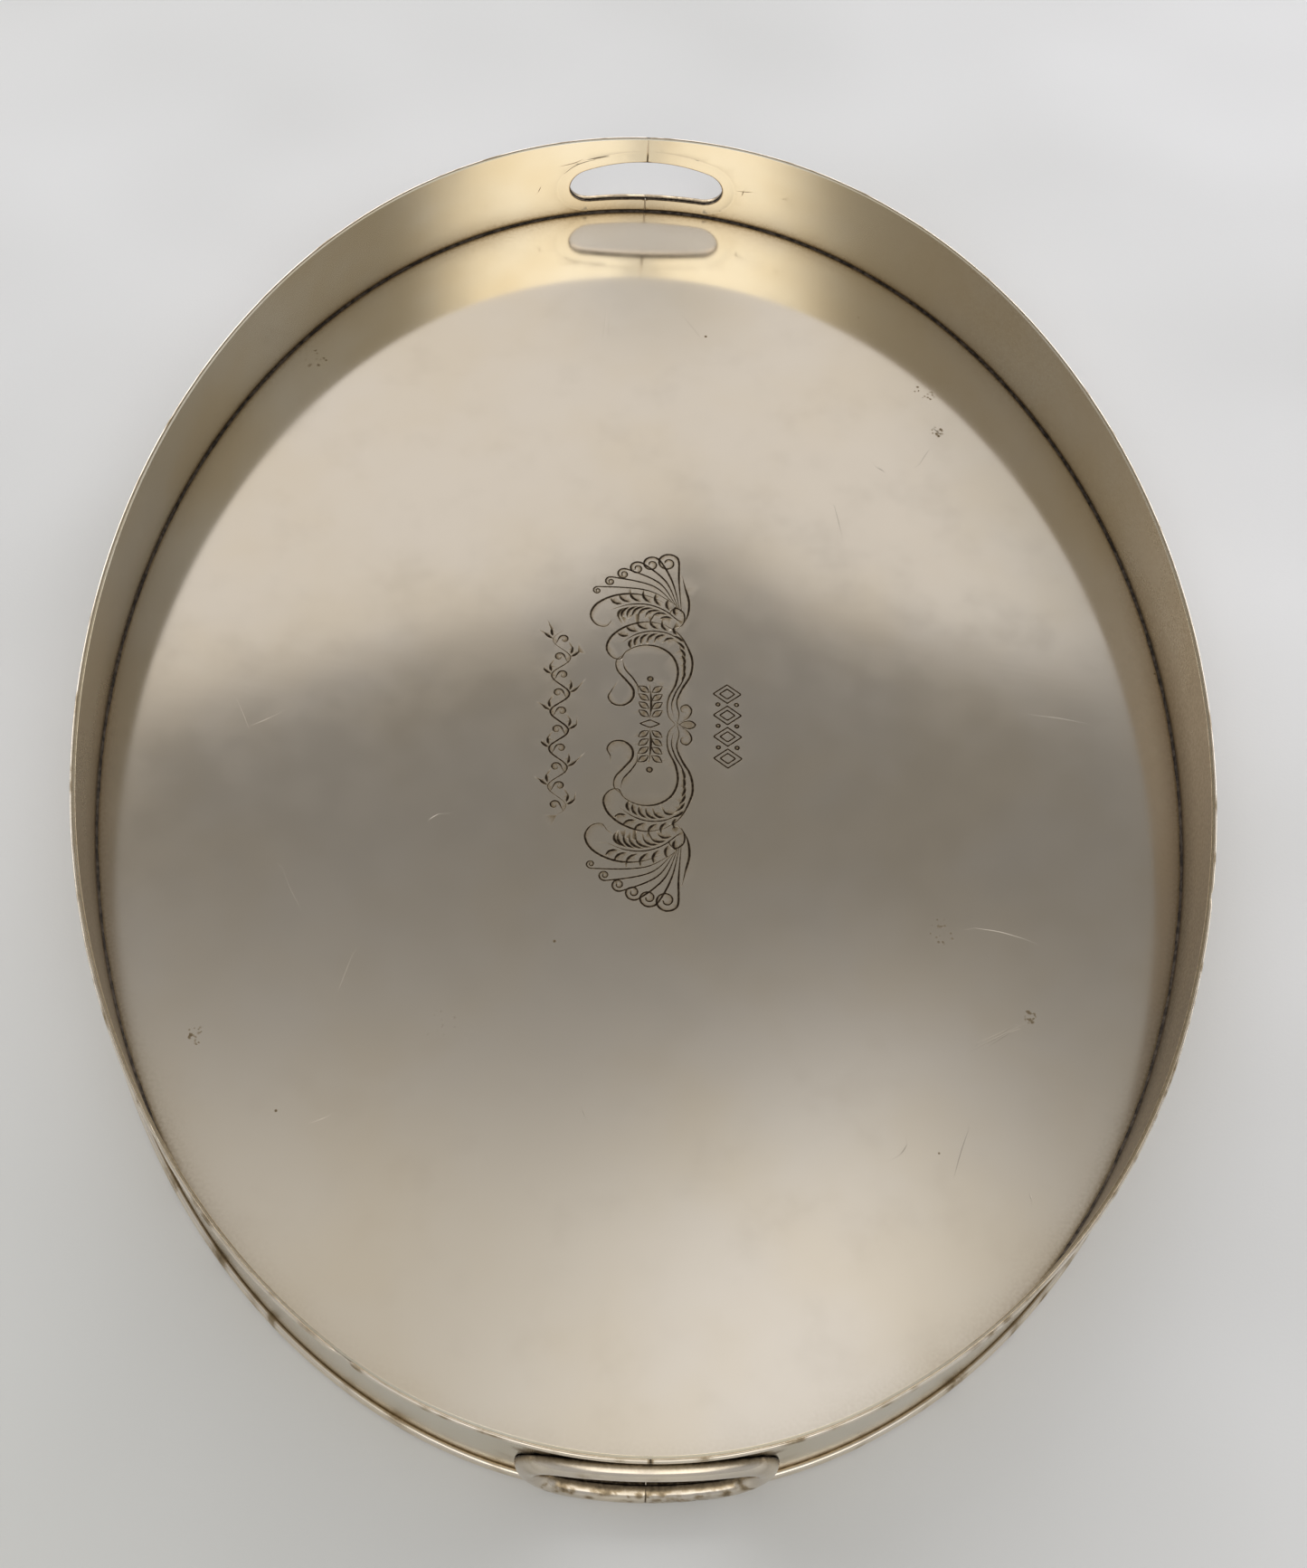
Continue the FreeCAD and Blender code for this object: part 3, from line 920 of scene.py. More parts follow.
@dataclass(frozen=True)
class PaleCloth:
    """A pale cotton sheet: matt, near white, with the faint cloudiness of cloth that lies almost flat.

    Its threads are a third of a millimetre thick, too fine to show, so they are drawn coarser.
    """

    name: str = "pale_cloth"
    light: str = "#efeff1"
    shade: str = "#e6e6e7"
    # The colour of the painted shade that the cloth darkens to, towards the near left and the far left.
    near: str = "#d2d2ce"
    fold_mm: float = 312.5
    fold_tall_mm: float = 14.0
    thread_mm: float = 1.1
    thread_tall_mm: float = 0.05
    toward_near_shade: tuple[float, float, float] = (-0.5, -0.86, 0.0)
    toward_far_shade: tuple[float, float, float] = (-0.35, 0.93, 0.0)

    def build(self) -> bpy.types.Material:
        """Make the material.

        Returns:
            The new material.
        """
        material, shader, place = new_finish(self.name)
        tree = material.node_tree
        broad = add(tree, "TexNoise", Vector=place, Scale=per(self.fold_mm), Detail=2.0)
        weave = add(tree, "TexNoise", Vector=place, Scale=per(self.thread_mm), Detail=2.0)
        share = add(tree, "MapRange", EASED, Value=broad, in1=0.35, in2=0.65)
        cloudy = add(tree, "Mix", COLOURS, in0=share, in6=linear(self.light), in7=linear(self.shade))
        # Painted shade: the cloth darkens and greys a little towards the near left and towards the far left.
        far = add(tree, "VectorMath", DOT, in0=place, in1=self.toward_far_shade)
        far_shade = add(tree, "MapRange", EASED, Value=far, in1=0.26, in2=0.60, in4=0.42)
        far_shaded = add(tree, "Mix", COLOURS, in0=far_shade, in6=cloudy, in7=linear(self.near))
        near = add(tree, "VectorMath", DOT, in0=place, in1=self.toward_near_shade)
        near_shade = add(tree, "MapRange", EASED, Value=near, in1=-0.15, in2=0.60)
        colour = add(tree, "Mix", COLOURS, in0=near_shade, in6=far_shaded, in7=linear(self.near))
        folds = add(tree, "Bump", Height=broad, Distance=self.fold_tall_mm * MM, Strength=1.0)
        tall = self.thread_tall_mm * MM
        threads = add(tree, "Bump", Height=weave, Distance=tall, Strength=0.6, Normal=folds)
        fit(tree, shader, Base_Color=colour, Normal=threads)
        shader.inputs["Roughness"].default_value = 0.9
        shader.inputs["Specular IOR Level"].default_value = 0.2
        return material


# ---------------------------------------------------------------------------------------------------------
# Sheet metal, wires and rings
# ---------------------------------------------------------------------------------------------------------


@dataclass
class SheetMetal:
    """A sheet cut to a flat plan and then set in place, with its edges dressed by a file."""

    name: str
    slot: Slot
    plan: Plan
    thick: float
    place: Callable[[Array, Array], Array]
    tarnish: Callable[[Array, Array], Array]
    filed: float = 0.18
    flipped: bool = False
    metal: Callable[[Array], Array] | None = None
    sharp_degrees: float = 35.0

    def build(self) -> bpy.types.Object:
        """Make the sheet: its face, its back and a rounded edge between them.

        Returns:
            The new object.
        """
        flat, corners = self.plan.triangles(self.metal)
        total = len(flat)

        border = np.array(open_sides(corners))
        along = flat[border[:, 1]] - flat[border[:, 0]]
        along /= np.linalg.norm(along, axis=1)[:, None]
        inward = np.zeros_like(flat)
        for column in (0, 1):
            np.add.at(inward, border[:, column], np.stack([-along[:, 1], along[:, 0]], axis=-1))
        length = np.linalg.norm(inward, axis=1)
        inward[length > 0] /= length[length > 0][:, None]
        shrunk = flat + inward * self.filed

        rim = np.unique(border)
        loop_at = np.full(total, -1)
        loop_at[rim] = np.arange(len(rim))
        layers = [
            (shrunk, 0.0),
            (flat[rim], self.filed),
            (flat[rim], self.thick - self.filed),
            (shrunk, self.thick),
        ]
        points = np.vstack([self.place(p, np.full(len(p), depth)) for p, depth in layers])
        tarnish = np.concatenate([self.tarnish(p, np.full(len(p), depth)) for p, depth in layers])
        upper, lower, back = total, total + len(rim), total + 2 * len(rim)
        faces = corners.tolist() + (corners[:, ::-1] + back).tolist()
        for a, b in border:
            one, two = loop_at[a], loop_at[b]
            faces.append([b, a, upper + one, upper + two])
            faces.append([upper + two, upper + one, lower + one, lower + two])
            faces.append([lower + two, lower + one, back + a, back + b])
        if self.flipped:
            faces = [face[::-1] for face in faces]
        return make_piece(self.name, points, faces, tarnish, self.slot, self.sharp_degrees)


@dataclass(frozen=True)
class HandleShape:
    """The pierced handle's outline, centred on X = 0: a straight foot, two round corners and a low arch."""

    half_foot: float = 26.2
    foot_at: float = 9.0
    corner_at: float = 19.0
    corner: float = 10.0
    arch: float = 104.6
    ring_wide: float = 8.8

    @property
    def arch_at(self) -> float:
        """The height of the arch's centre."""
        return self.corner_at - math.sqrt((self.arch - self.corner) ** 2 - self.half_foot**2)

    @property
    def crown(self) -> float:
        """The height of the opening's highest point."""
        return self.arch_at + self.arch

    def outline(self, grow: float, step: float) -> tuple[Array, Array]:
        """Half the outline, from the crown down to the middle of the foot, on the +X side.

        Args:
            grow: how far outside the opening it runs.
            step: distance between points.
        Returns:
            The points as X and Z, and the unit directions away from the opening.
        """
        turn = math.atan2(self.half_foot, self.corner_at - self.arch_at)
        arch, corner = self.arch + grow, self.corner + grow
        over = np.linspace(0.0, turn, max(3, int(arch * turn / step)))[:-1]
        round_ = np.linspace(turn, math.pi, max(6, int(corner * (math.pi - turn) / step)))[:-1]
        under = np.linspace(self.half_foot, 0.0, max(3, int(self.half_foot / step)))
        x = np.concatenate([arch * np.sin(over), self.half_foot + corner * np.sin(round_), under])
        z = np.concatenate(
            [
                self.arch_at + arch * np.cos(over),
                self.corner_at + corner * np.cos(round_),
                np.full(len(under), self.foot_at - grow),
            ]
        )
        angle = np.concatenate([over, round_, np.full(len(under), math.pi)])
        return np.stack([x, z], axis=-1), np.stack([np.sin(angle), np.cos(angle)], axis=-1)

    def growth(self, x: Array, z: Array) -> Array:
        """How far outside the opening a point of the wall is, negative inside it."""
        x = np.abs(x)
        corner = np.hypot(x - self.half_foot, z - self.corner_at) - self.corner
        arch = np.hypot(x, z - self.arch_at) - self.arch
        foot = self.foot_at - z
        over = x * (self.corner_at - self.arch_at) < (z - self.arch_at) * self.half_foot
        over &= z > self.corner_at
        under = (x < self.half_foot) & (z < self.corner_at)
        return np.where(over, arch, np.where(under, foot, corner))


@dataclass
class Tray:
    """What every piece of the tray is measured from."""

    oval: Oval
    hand: HandWork = field(default_factory=HandWork)
    handle: HandleShape = field(default_factory=HandleShape)
    floor_top: float = 1.2
    wall_top: float = 46.7
    wall_thick: float = 1.0
    seam: float = 0.3

    def at(self, walk: Array, out: Array, height: Array) -> Array:
        """A point beside the wall's inner face, which follows the wall's stray from true.

        Args:
            walk: arc length from the far end.
            out: distance outward from the inner face.
            height: Z before the stray.
        Returns:
            Points in millimetres, one a row.
        """
        walk, out, height = np.broadcast_arrays(walk, out, height)
        turn = self.oval.turn(walk)
        share = (height - self.floor_top) / (self.wall_top - self.floor_top)
        lean, dip = self.hand.lean(turn, share), self.hand.dip(turn, share)
        return self.oval.place(walk, out + lean, height + dip)

    def walk_at(self, end: End, x: Array, out: Array) -> Array:
        """Arc length of the point that is a distance out from the wall at one end and has a given X."""
        x, out = np.broadcast_arrays(np.asarray(x, float), np.asarray(out, float))
        walk = self.oval.walk_at_x(x)
        for _ in range(4):
            turn = self.oval.turn(walk)
            lean_x, lean_y = np.sin(turn) / self.oval.half_width, np.cos(turn) / self.oval.half_length
            walk = self.oval.walk_at_x(x - out * lean_x / np.hypot(lean_x, lean_y))
        return walk if end is End.FAR else self.oval.half_round - walk


@dataclass
class TrayFloor:
    """The floor: one sheet with the ornament cut in it, scratched and stained by use."""

    tray: Tray
    node: str = "tray_floor"
    overhang: float = 1.0
    thick: float = 1.2
    cell: float = 7.0
    ornament_y: float = 9.4
    cut_share: float = 0.07
    ornament_turn: float = -0.0094
    joint_dark: float = 1.1
    mean_half: float = 255.0
    grid_reach: tuple[int, int] = (224, 302)
    grid_oval: tuple[float, float] = (211, 289)
    scrape_wide: float = 0.55
    scratch_wide: float = 0.34
    scratch_share: float = 0.05
    clear_of_ornament: tuple[float, float] = (60, 112)

    def scratches(self) -> list[Stroke]:
        """Shallow scrapes in the few places where they show, and scratches at random."""
        marks = [
            [(126.5, -135.0), (137.0, -129.4), (148.0, -123.5)],
            [(128.8, -132.0), (139.0, -127.2), (144.0, -124.0)],
            [(133.0, -133.2), (141.5, -127.6), (146.2, -125.6)],
            [(-19.6, 216.0), (-18.6, 227.0), (-17.6, 240.0)],
            [(-16.9, 222.0), (-16.2, 231.0)],
            [(-23.6, -161.4), (-22.4, -164.6)],
            [(143.6, -192.4), (144.2, -195.2)],
            [(131.5, 171.2), (135.2, 167.0)],
        ]
        cuts = [Stroke(flow(line), self.scrape_wide, 0.3, 0.3) for line in marks]
        rng = np.random.default_rng(18)
        for _ in range(16):
            turn, share = rng.uniform(0, 2 * math.pi), math.sqrt(rng.uniform(0.02, 0.86))
            start = np.array([205 * share * math.sin(turn), 280 * share * math.cos(turn)])
            heading, length, bend = rng.uniform(0, math.pi), rng.uniform(4, 22), rng.uniform(-0.15, 0.15)
            across, along = self.clear_of_ornament
            if abs(start[0]) < across and abs(start[1] - self.ornament_y) < along:
                continue
            middle = start + length / 2 * np.array([math.cos(heading), math.sin(heading)])
            finish = middle + length / 2 * np.array([math.cos(heading + bend), math.sin(heading + bend)])
            line = flow([tuple(start), tuple(middle), tuple(finish)], 1.5)
            cuts.append(Stroke(line, self.scratch_wide, 0.3, 0.3))
        return cuts

    def stains(self) -> list[tuple[float, float, float]]:
        """Where cleaning missed: the middle of each patch of dried spots, and its radius."""
        spots = [(-150.2, 201.0, 5.0), (128.4, 191.5, 5.5), (118.3, -84.7, 5.0), (-172.0, -133.6, 4.5)]
        return spots + [(133.4, 168.9, 2.6), (-79.6, -128.0, 7.0), (150.0, -121.0, 2.4)]

    def _spots(self) -> tuple[Array, Array, Array]:
        """The dried spots themselves: their middles, radii and strengths."""
        rng = np.random.default_rng(7)
        middles, radii, strengths = [], [], []
        for x, y, reach in self.stains():
            for _ in range(16):
                turn, share = rng.uniform(0, 2 * math.pi), rng.uniform(0, 1) ** 0.6
                off = reach * share
                middles.append((x + off * math.cos(turn), y + 1.2 * reach * share * math.sin(turn)))
                radii.append(rng.uniform(0.45, 1.15))
                strengths.append(rng.uniform(0.18, 0.55) * (0.4 if reach > 6 else 1.0))
        return np.array(middles), np.array(radii), np.array(strengths)

    def _grid(self, keep: Callable[[Array], Array]) -> Array:
        """Loose points for the sheet's interior, set in a triangular pattern."""
        wide, long = self.grid_reach
        row = self.cell * 0.866
        x, y = np.meshgrid(np.arange(-wide, wide + 1, self.cell), np.arange(-long, long + 1, row))
        x = x + np.where(np.arange(len(x)) % 2, self.cell / 2, 0.0)[:, None]
        points = np.stack([x.ravel(), y.ravel()], axis=-1)
        return points[keep(points)]

    def build(self) -> bpy.types.Object:
        """Make the floor.

        Returns:
            The new object.
        """
        oval, plan = self.tray.oval, Plan()
        walks = np.linspace(oval.round, 0.0, 900, endpoint=False)
        for inset in (self.overhang, 0.0, -1.0, -2.0, -4.0, -8.5):
            loop = walks if inset > -4 else walks[::2]
            plan.line(oval.place(loop, np.full(len(loop), inset), 0.0)[:, :2], closed=True)

        # The ornament reads along +Y, and was cut half a degree off the line between the handles.
        sine, cosine = math.sin(self.ornament_turn), math.cos(self.ornament_turn)
        turn = np.array([[-sine, cosine], [-cosine, -sine]])
        cuts = Ornament().strokes()
        for cut in cuts:
            cut.points = cut.points @ turn + [0.0, self.ornament_y]
        scratches = self.scratches()
        deep = [self.cut_share * cut.wide for cut in cuts]
        deep += [self.scratch_share * cut.wide for cut in scratches]
        cuts += scratches
        for cut in cuts:
            cut.draw(plan)

        middles, radii, strengths = self._spots()
        for middle, radius in zip(middles, radii):
            ring = spiral(tuple(middle), (radius, radius), 0.0, 360.0)[:-1]
            plan.scatter(np.vstack([ring[::2], [middle]]))
        wide, long = self.grid_oval
        plan.scatter(self._grid(lambda p: (p[:, 0] / wide) ** 2 + (p[:, 1] / long) ** 2 < 1.0))

        def cut_depth(flat: Array) -> tuple[Array, Array]:
            """Depth in millimetres and share of full depth at points of the plan."""
            depth, share = np.zeros(len(flat)), np.zeros(len(flat))
            for cut, full in zip(cuts, deep):
                low, high = cut.points.min(0) - cut.wide, cut.points.max(0) + cut.wide
                near = np.where(np.all((flat > low) & (flat < high), axis=1))[0]
                if len(near):
                    here = cut.deepness(flat[near])
                    depth[near] = np.maximum(depth[near], here * full)
                    # A scratch only shows as a faint line, and a graver's cut is black to its bottom.
                    shown = 1.0 if cut.wide > self.scrape_wide else 1e-6
                    share[near] = np.maximum(share[near], here * shown)
            return depth, share

        def place(flat: Array, depth: Array) -> Array:
            """Set plan points in place: the face has the cuts, and the back is flat."""
            sunk = cut_depth(flat)[0] if depth[0] == 0 else 0.0
            return np.stack([flat[:, 0], flat[:, 1], self.thick - depth - sunk], axis=-1)

        def tarnish(flat: Array, depth: Array) -> Array:
            """Dark in the cuts, along the wall and in the dried spots; blotchy underneath."""
            if depth[0] > self.thick / 2:
                bent = np.sin(flat[:, 0] / 31 + 1.7 * np.sin(flat[:, 1] / 47))
                return 0.16 + 0.10 * (bent * np.sin(flat[:, 1] / 39 + 0.6))
            way_out = np.sqrt((flat[:, 0] / oval.half_width) ** 2 + (flat[:, 1] / oval.half_length) ** 2)
            to_wall = np.clip((1.0 - way_out) * self.mean_half, 0.0, None)
            joint = 0.62 * np.exp(-((to_wall / self.joint_dark) ** 1.4)) + 0.26 * np.exp(-to_wall / 9.0)
            stain = np.zeros(len(flat))
            for middle, radius, strength in zip(middles, radii, strengths):
                gap = np.hypot(flat[:, 0] - middle[0], flat[:, 1] - middle[1]) / radius
                stain = np.maximum(stain, strength * (gap < 0.7))
            return np.maximum(np.maximum(joint, stain), cut_depth(flat)[1] ** 0.2)

        sheet = SheetMetal(self.node, Slot.FLOOR, plan, self.thick, place, tarnish, sharp_degrees=5.0)
        return sheet.build()


@dataclass
class GalleryWall:
    """Half of the upright wall: a strip bent round the floor, with half of each opening cut in its ends."""

    tray: Tray
    side: Side
    cell: float = 6.5
    imprint_at: float = 6.0
    imprint_tall: float = 0.16
    beside_handle: float = 60.0
    near_handle: float = 80.0
    far_off: float = 99.0
    filed: float = 0.08

    def build(self) -> bpy.types.Object:
        """Make the half wall.

        Returns:
            The new object.
        """
        tray, plan = self.tray, Plan()
        shape, half = tray.handle, tray.oval.half_round
        gap, low, high = tray.seam / 2, tray.floor_top, tray.wall_top

        def run(grow: float, end: End) -> Array:
            """The opening's outline at one end, from its crown to its foot, as arc length and height."""
            points = shape.outline(grow, 1.0 if grow == 0 else 2.0)[0]
            x = np.clip(points[:, 0], gap, None)
            walk = tray.walk_at(end, x, 0.5)
            return np.stack([walk, points[:, 1]], axis=-1)

        def strip(height: float) -> Array:
            """A line along the wall at one height."""
            steps = int((half - 2 * gap) / 3.0)
            walk = np.linspace(gap, half - gap, steps)
            return np.stack([walk, np.full(steps, height)], axis=-1)

        far, near = run(0.0, End.FAR), run(0.0, End.NEAR)
        plan.line(np.vstack([strip(low), near[::-1], strip(high)[::-1], far]), closed=True)
        for height in (low + 1.2, low + 2.6, high - 1.2):
            plan.line(strip(height)[1:-1])
        for end in End:
            for grow in (0.35, 0.8, self.imprint_at - 0.7, self.imprint_at, self.imprint_at + 0.7):
                plan.line(run(grow, end)[1:-1])
        for off in (0.3, 0.7):
            for at in (gap + off, half - gap - off):
                for first, last in ((low + 0.6, shape.foot_at - 0.9), (shape.crown + 0.9, high - 0.6)):
                    heights = np.linspace(first, last, int((last - first) / 1.2))
                    plan.line(np.stack([np.full(len(heights), at), heights], axis=-1))
        for mark in self._marks():
            mark.draw(plan)
        walk, height = np.meshgrid(np.arange(4.0, half - 2, self.cell), np.arange(low + 6, high - 2.5, 4.2))
        grid = np.stack([walk.ravel(), height.ravel()], axis=-1)
        across = self._across(grid)
        plan.scatter(grid[np.abs(shape.growth(across, grid[:, 1]) - 1.6) > 2.6])

        def lifted(flat: Array) -> Array:
            """The faint ridge that the ring's soldering left round the opening, on the inner face."""
            x = self._across(flat)
            off = np.abs(shape.growth(x, flat[:, 1]) - self.imprint_at)
            return self.imprint_tall * (np.abs(x) < 52) * np.clip(1.0 - off / 0.7, 0.0, 1.0)

        def place(flat: Array, depth: Array) -> Array:
            """Set plan points in place, the face inward."""
            walk = flat[:, 0] if self.side is Side.RIGHT else tray.oval.round - flat[:, 0]
            out = depth - (lifted(flat) if depth[0] == 0 else 0.0)
            return tray.at(walk, out, flat[:, 1])

        def tarnish(flat: Array, depth: Array) -> Array:
            """Dark along the floor, at the seams and round the opening. Outside, painted shadow under the
            rim wire and over the foot wire, tarnish with painted shade beside the ring, and a film that is
            partly tarnish and partly painted shade.
            """
            rise = flat[:, 1] - low
            ends = np.minimum(flat[:, 0] - gap, half - gap - flat[:, 0])
            x = self._across(flat)
            hole, beside = shape.growth(x, flat[:, 1]), np.abs(x) < self.beside_handle
            turn, outside = tray.oval.turn(flat[:, 0]), depth[0] > tray.wall_thick / 2
            dark = 0.60 * np.exp(-((rise / 0.9) ** 1.3)) + 0.26 * np.exp(-rise / 8.0)
            # The long sides darken: inside by yellowing, outside by a film that is partly tarnish and partly
            # painted shade.
            spread = 0.17 if outside else self._spread(-np.cos(turn), rise)
            dark = np.maximum(dark, 0.03 + spread * smooth_step(0.25, 0.75, np.abs(np.sin(turn))))
            # The seam shows as a hair, but for the crack over the opening.
            dark = np.maximum(dark, (0.06 + 0.80 * cracked(flat[:, 1])) * band(ends, 0.22))
            dark = np.maximum(dark, 0.85 * band(hole, 0.3) * beside)
            if outside:
                # Outside, a little darker all over: partly tarnish, partly painted shade.
                dark = dark + 0.05
                # Painted shadow on the wall under the rim wire.
                dark = np.maximum(dark, 0.8 * band(high - 2.8 - flat[:, 1], 1.2))
                # Tarnish and painted shade in the crease where the ring meets the wall.
                dark = np.maximum(dark, 0.8 * band(np.where(beside, hole - shape.ring_wide, 9.0), 1.3))
                # Painted shadow in the groove over the foot wire.
                return np.maximum(dark, 0.85 * band(flat[:, 1] - 5.4, 1.6))
            for mark in self._marks():
                dark = np.maximum(dark, 0.8 * mark.deepness(flat) ** 0.5)
            return np.maximum(dark, 0.10 * band(np.where(beside, hole - self.imprint_at - 0.7, 9.0), 0.8))

        def metal(flat: Array) -> Array:
            """Which plan points aren't in the opening."""
            x = self._across(flat)
            return shape.growth(x, flat[:, 1]) > -0.03

        name, flipped = f"gallery_wall_{self.side.name.lower()}", self.side is Side.LEFT
        thick = tray.wall_thick
        sheet = SheetMetal(name, Slot.WALL, plan, thick, place, tarnish, self.filed, flipped, metal)
        return sheet.build()

    def _spread(self, near: Array, rise: Array) -> Array:
        """How yellowed the inner face's two long sides are: more towards the near end, and low down.

        Args:
            near: -1 at the far end to 1 at the near end.
            rise: height over the floor.
        Returns:
            The tarnish at each point.
        """
        least, more = YELLOWED[self.side]
        spread = least + more * smooth_step(-0.45, 0.0, near)
        spread = spread + 0.27 * smooth_step(-0.15, 0.55, near)
        return spread + 0.12 * smooth_step(26.0, 6.0, rise) * smooth_step(-0.5, 0.2, near)

    def _marks(self) -> list[Stroke]:
        """Scratches on the inner face by the far handle, in arc length and height."""
        left = [
            [(39.5, 28.6), (34.6, 32.4), (29.5, 34.4), (25.0, 35.0)],
            [(41.6, 33.4), (34.0, 34.6), (30.2, 36.4)],
            [(27.4, 35.8), (18.4, 37.0)],
            [(52.0, 19.4), (50.6, 22.8)],
        ]
        right = [
            [(43.4, 22.0), (47.0, 22.6), (51.2, 23.8)],
            [(65.8, 24.8), (66.6, 25.2)],
            [(46.0, 19.6), (46.8, 23.4)],
        ]
        lines = left if self.side is Side.LEFT else right
        return [Stroke(flow(line), 0.5, 0.3, 0.3) for line in lines]

    def _across(self, flat: Array) -> Array:
        """The X that plan points have beside the nearer handle.

        Args:
            flat: plan points.
        Returns:
            Their X, or a large one away from both handles.
        """
        oval = self.tray.oval
        walk = np.minimum(flat[:, 0], oval.half_round - flat[:, 0])
        return np.where(walk > self.near_handle, self.far_off, oval.half_width * np.sin(oval.turn(walk)))


@dataclass
class WallBar:
    """A bar along the wall: a section drawn as out and up, carried from one arc length to another."""

    tray: Tray
    name: str
    slot: Slot
    section: Array
    starts: Array
    ends: Array
    dark: Array
    rows: int
    wobble: float = 0.0
    seed: int = 1
    joint: float = 0.5
    scuffs: int = 60
    crowded: float = 0.8
    shape: Callable[[Array, Array], Array] | None = None

    def build(self) -> bpy.types.Object:
        """Make the bar.

        Returns:
            The new object.
        """
        across = len(self.section)
        share = np.linspace(0.0, 1.0, self.rows)[:, None]
        signed = float(np.mean(self.ends - self.starts))
        length = abs(signed)
        # Rows crowd at the ends, where the file and the soldering iron left their marks.
        eased = share - 0.5 / (2 * math.pi) * np.sin(2 * math.pi * share) * self.crowded
        walk = self.starts[None] + (self.ends - self.starts)[None] * eased
        rng = np.random.default_rng(self.seed)
        beat = sum(
            size * np.sin(2 * math.pi * (eased * length / wave + rng.uniform()))
            for wave, size in ((61.0, 0.5), (23.0, 0.3), (9.7, 0.2))
        )
        middle = self.section.mean(0)
        grown = 1.0 + self.wobble * beat[:, 0]
        near_end = np.minimum(eased[:, 0], 1 - eased[:, 0]) * length
        grown = grown * (1.0 - 0.10 * band(near_end, self.joint))
        out = middle[0] + (self.section[None, :, 0] - middle[0]) * grown[:, None]
        high = middle[1] + (self.section[None, :, 1] - middle[1]) * grown[:, None]
        out = np.clip(out, self.section[:, 0].min(), self.section[:, 0].max())
        high = np.clip(high, self.section[:, 1].min(), self.section[:, 1].max())
        if self.shape is not None:
            out, high = self.shape(walk, np.stack([out, high]))
        points = self.tray.at(walk, out, high).reshape(-1, 3)
        dark = np.maximum(self.dark[None], 0.8 * band(near_end, self.joint)[:, None])
        # Scuffs, a few millimetres long, where the wire has been knocked and has tarnished again.
        for _ in range(self.scuffs):
            at, wide, deep = rng.uniform(0, length), rng.uniform(1.4, 5.0), rng.uniform(0.15, 0.60)
            scuff = deep * band(eased[:, 0] * length - at, wide)
            dark = np.maximum(dark, scuff[:, None] * rng.uniform(0.3, 1.0, across)[None])
        faces = ring_grid(self.rows, across, False, True)
        faces += [tuple(range(across))[::-1], tuple((self.rows - 1) * across + i for i in range(across))]
        if signed < 0:
            faces = [face[::-1] for face in faces]
        return make_piece(self.name, points, faces, dark.ravel(), self.slot)


def half_round(out: float, low: float, high: float, proud: float, steps: int = 13) -> Array:
    """The section of a rounded wire on the wall's outer face, which leaves a fine groove along the wall.

    Args:
        out: where the wall's outer face is.
        low: the wire's underside.
        high: its top.
        proud: how far it stands out.
        steps: points round its curve.
    Returns:
        Points as out and up, counter-clockwise from the bottom.
    """
    centre, reach = out + 0.34 * proud, 0.66 * proud
    widest = math.pi - math.acos((centre - out) / reach)
    turn = np.linspace(-widest, widest, steps)
    middle = (low + high) / 2
    curve = np.stack([centre + reach * np.cos(turn), middle + (high - low) / 2 * np.sin(turn)], axis=-1)
    return np.vstack([curve, [(out, middle)]])


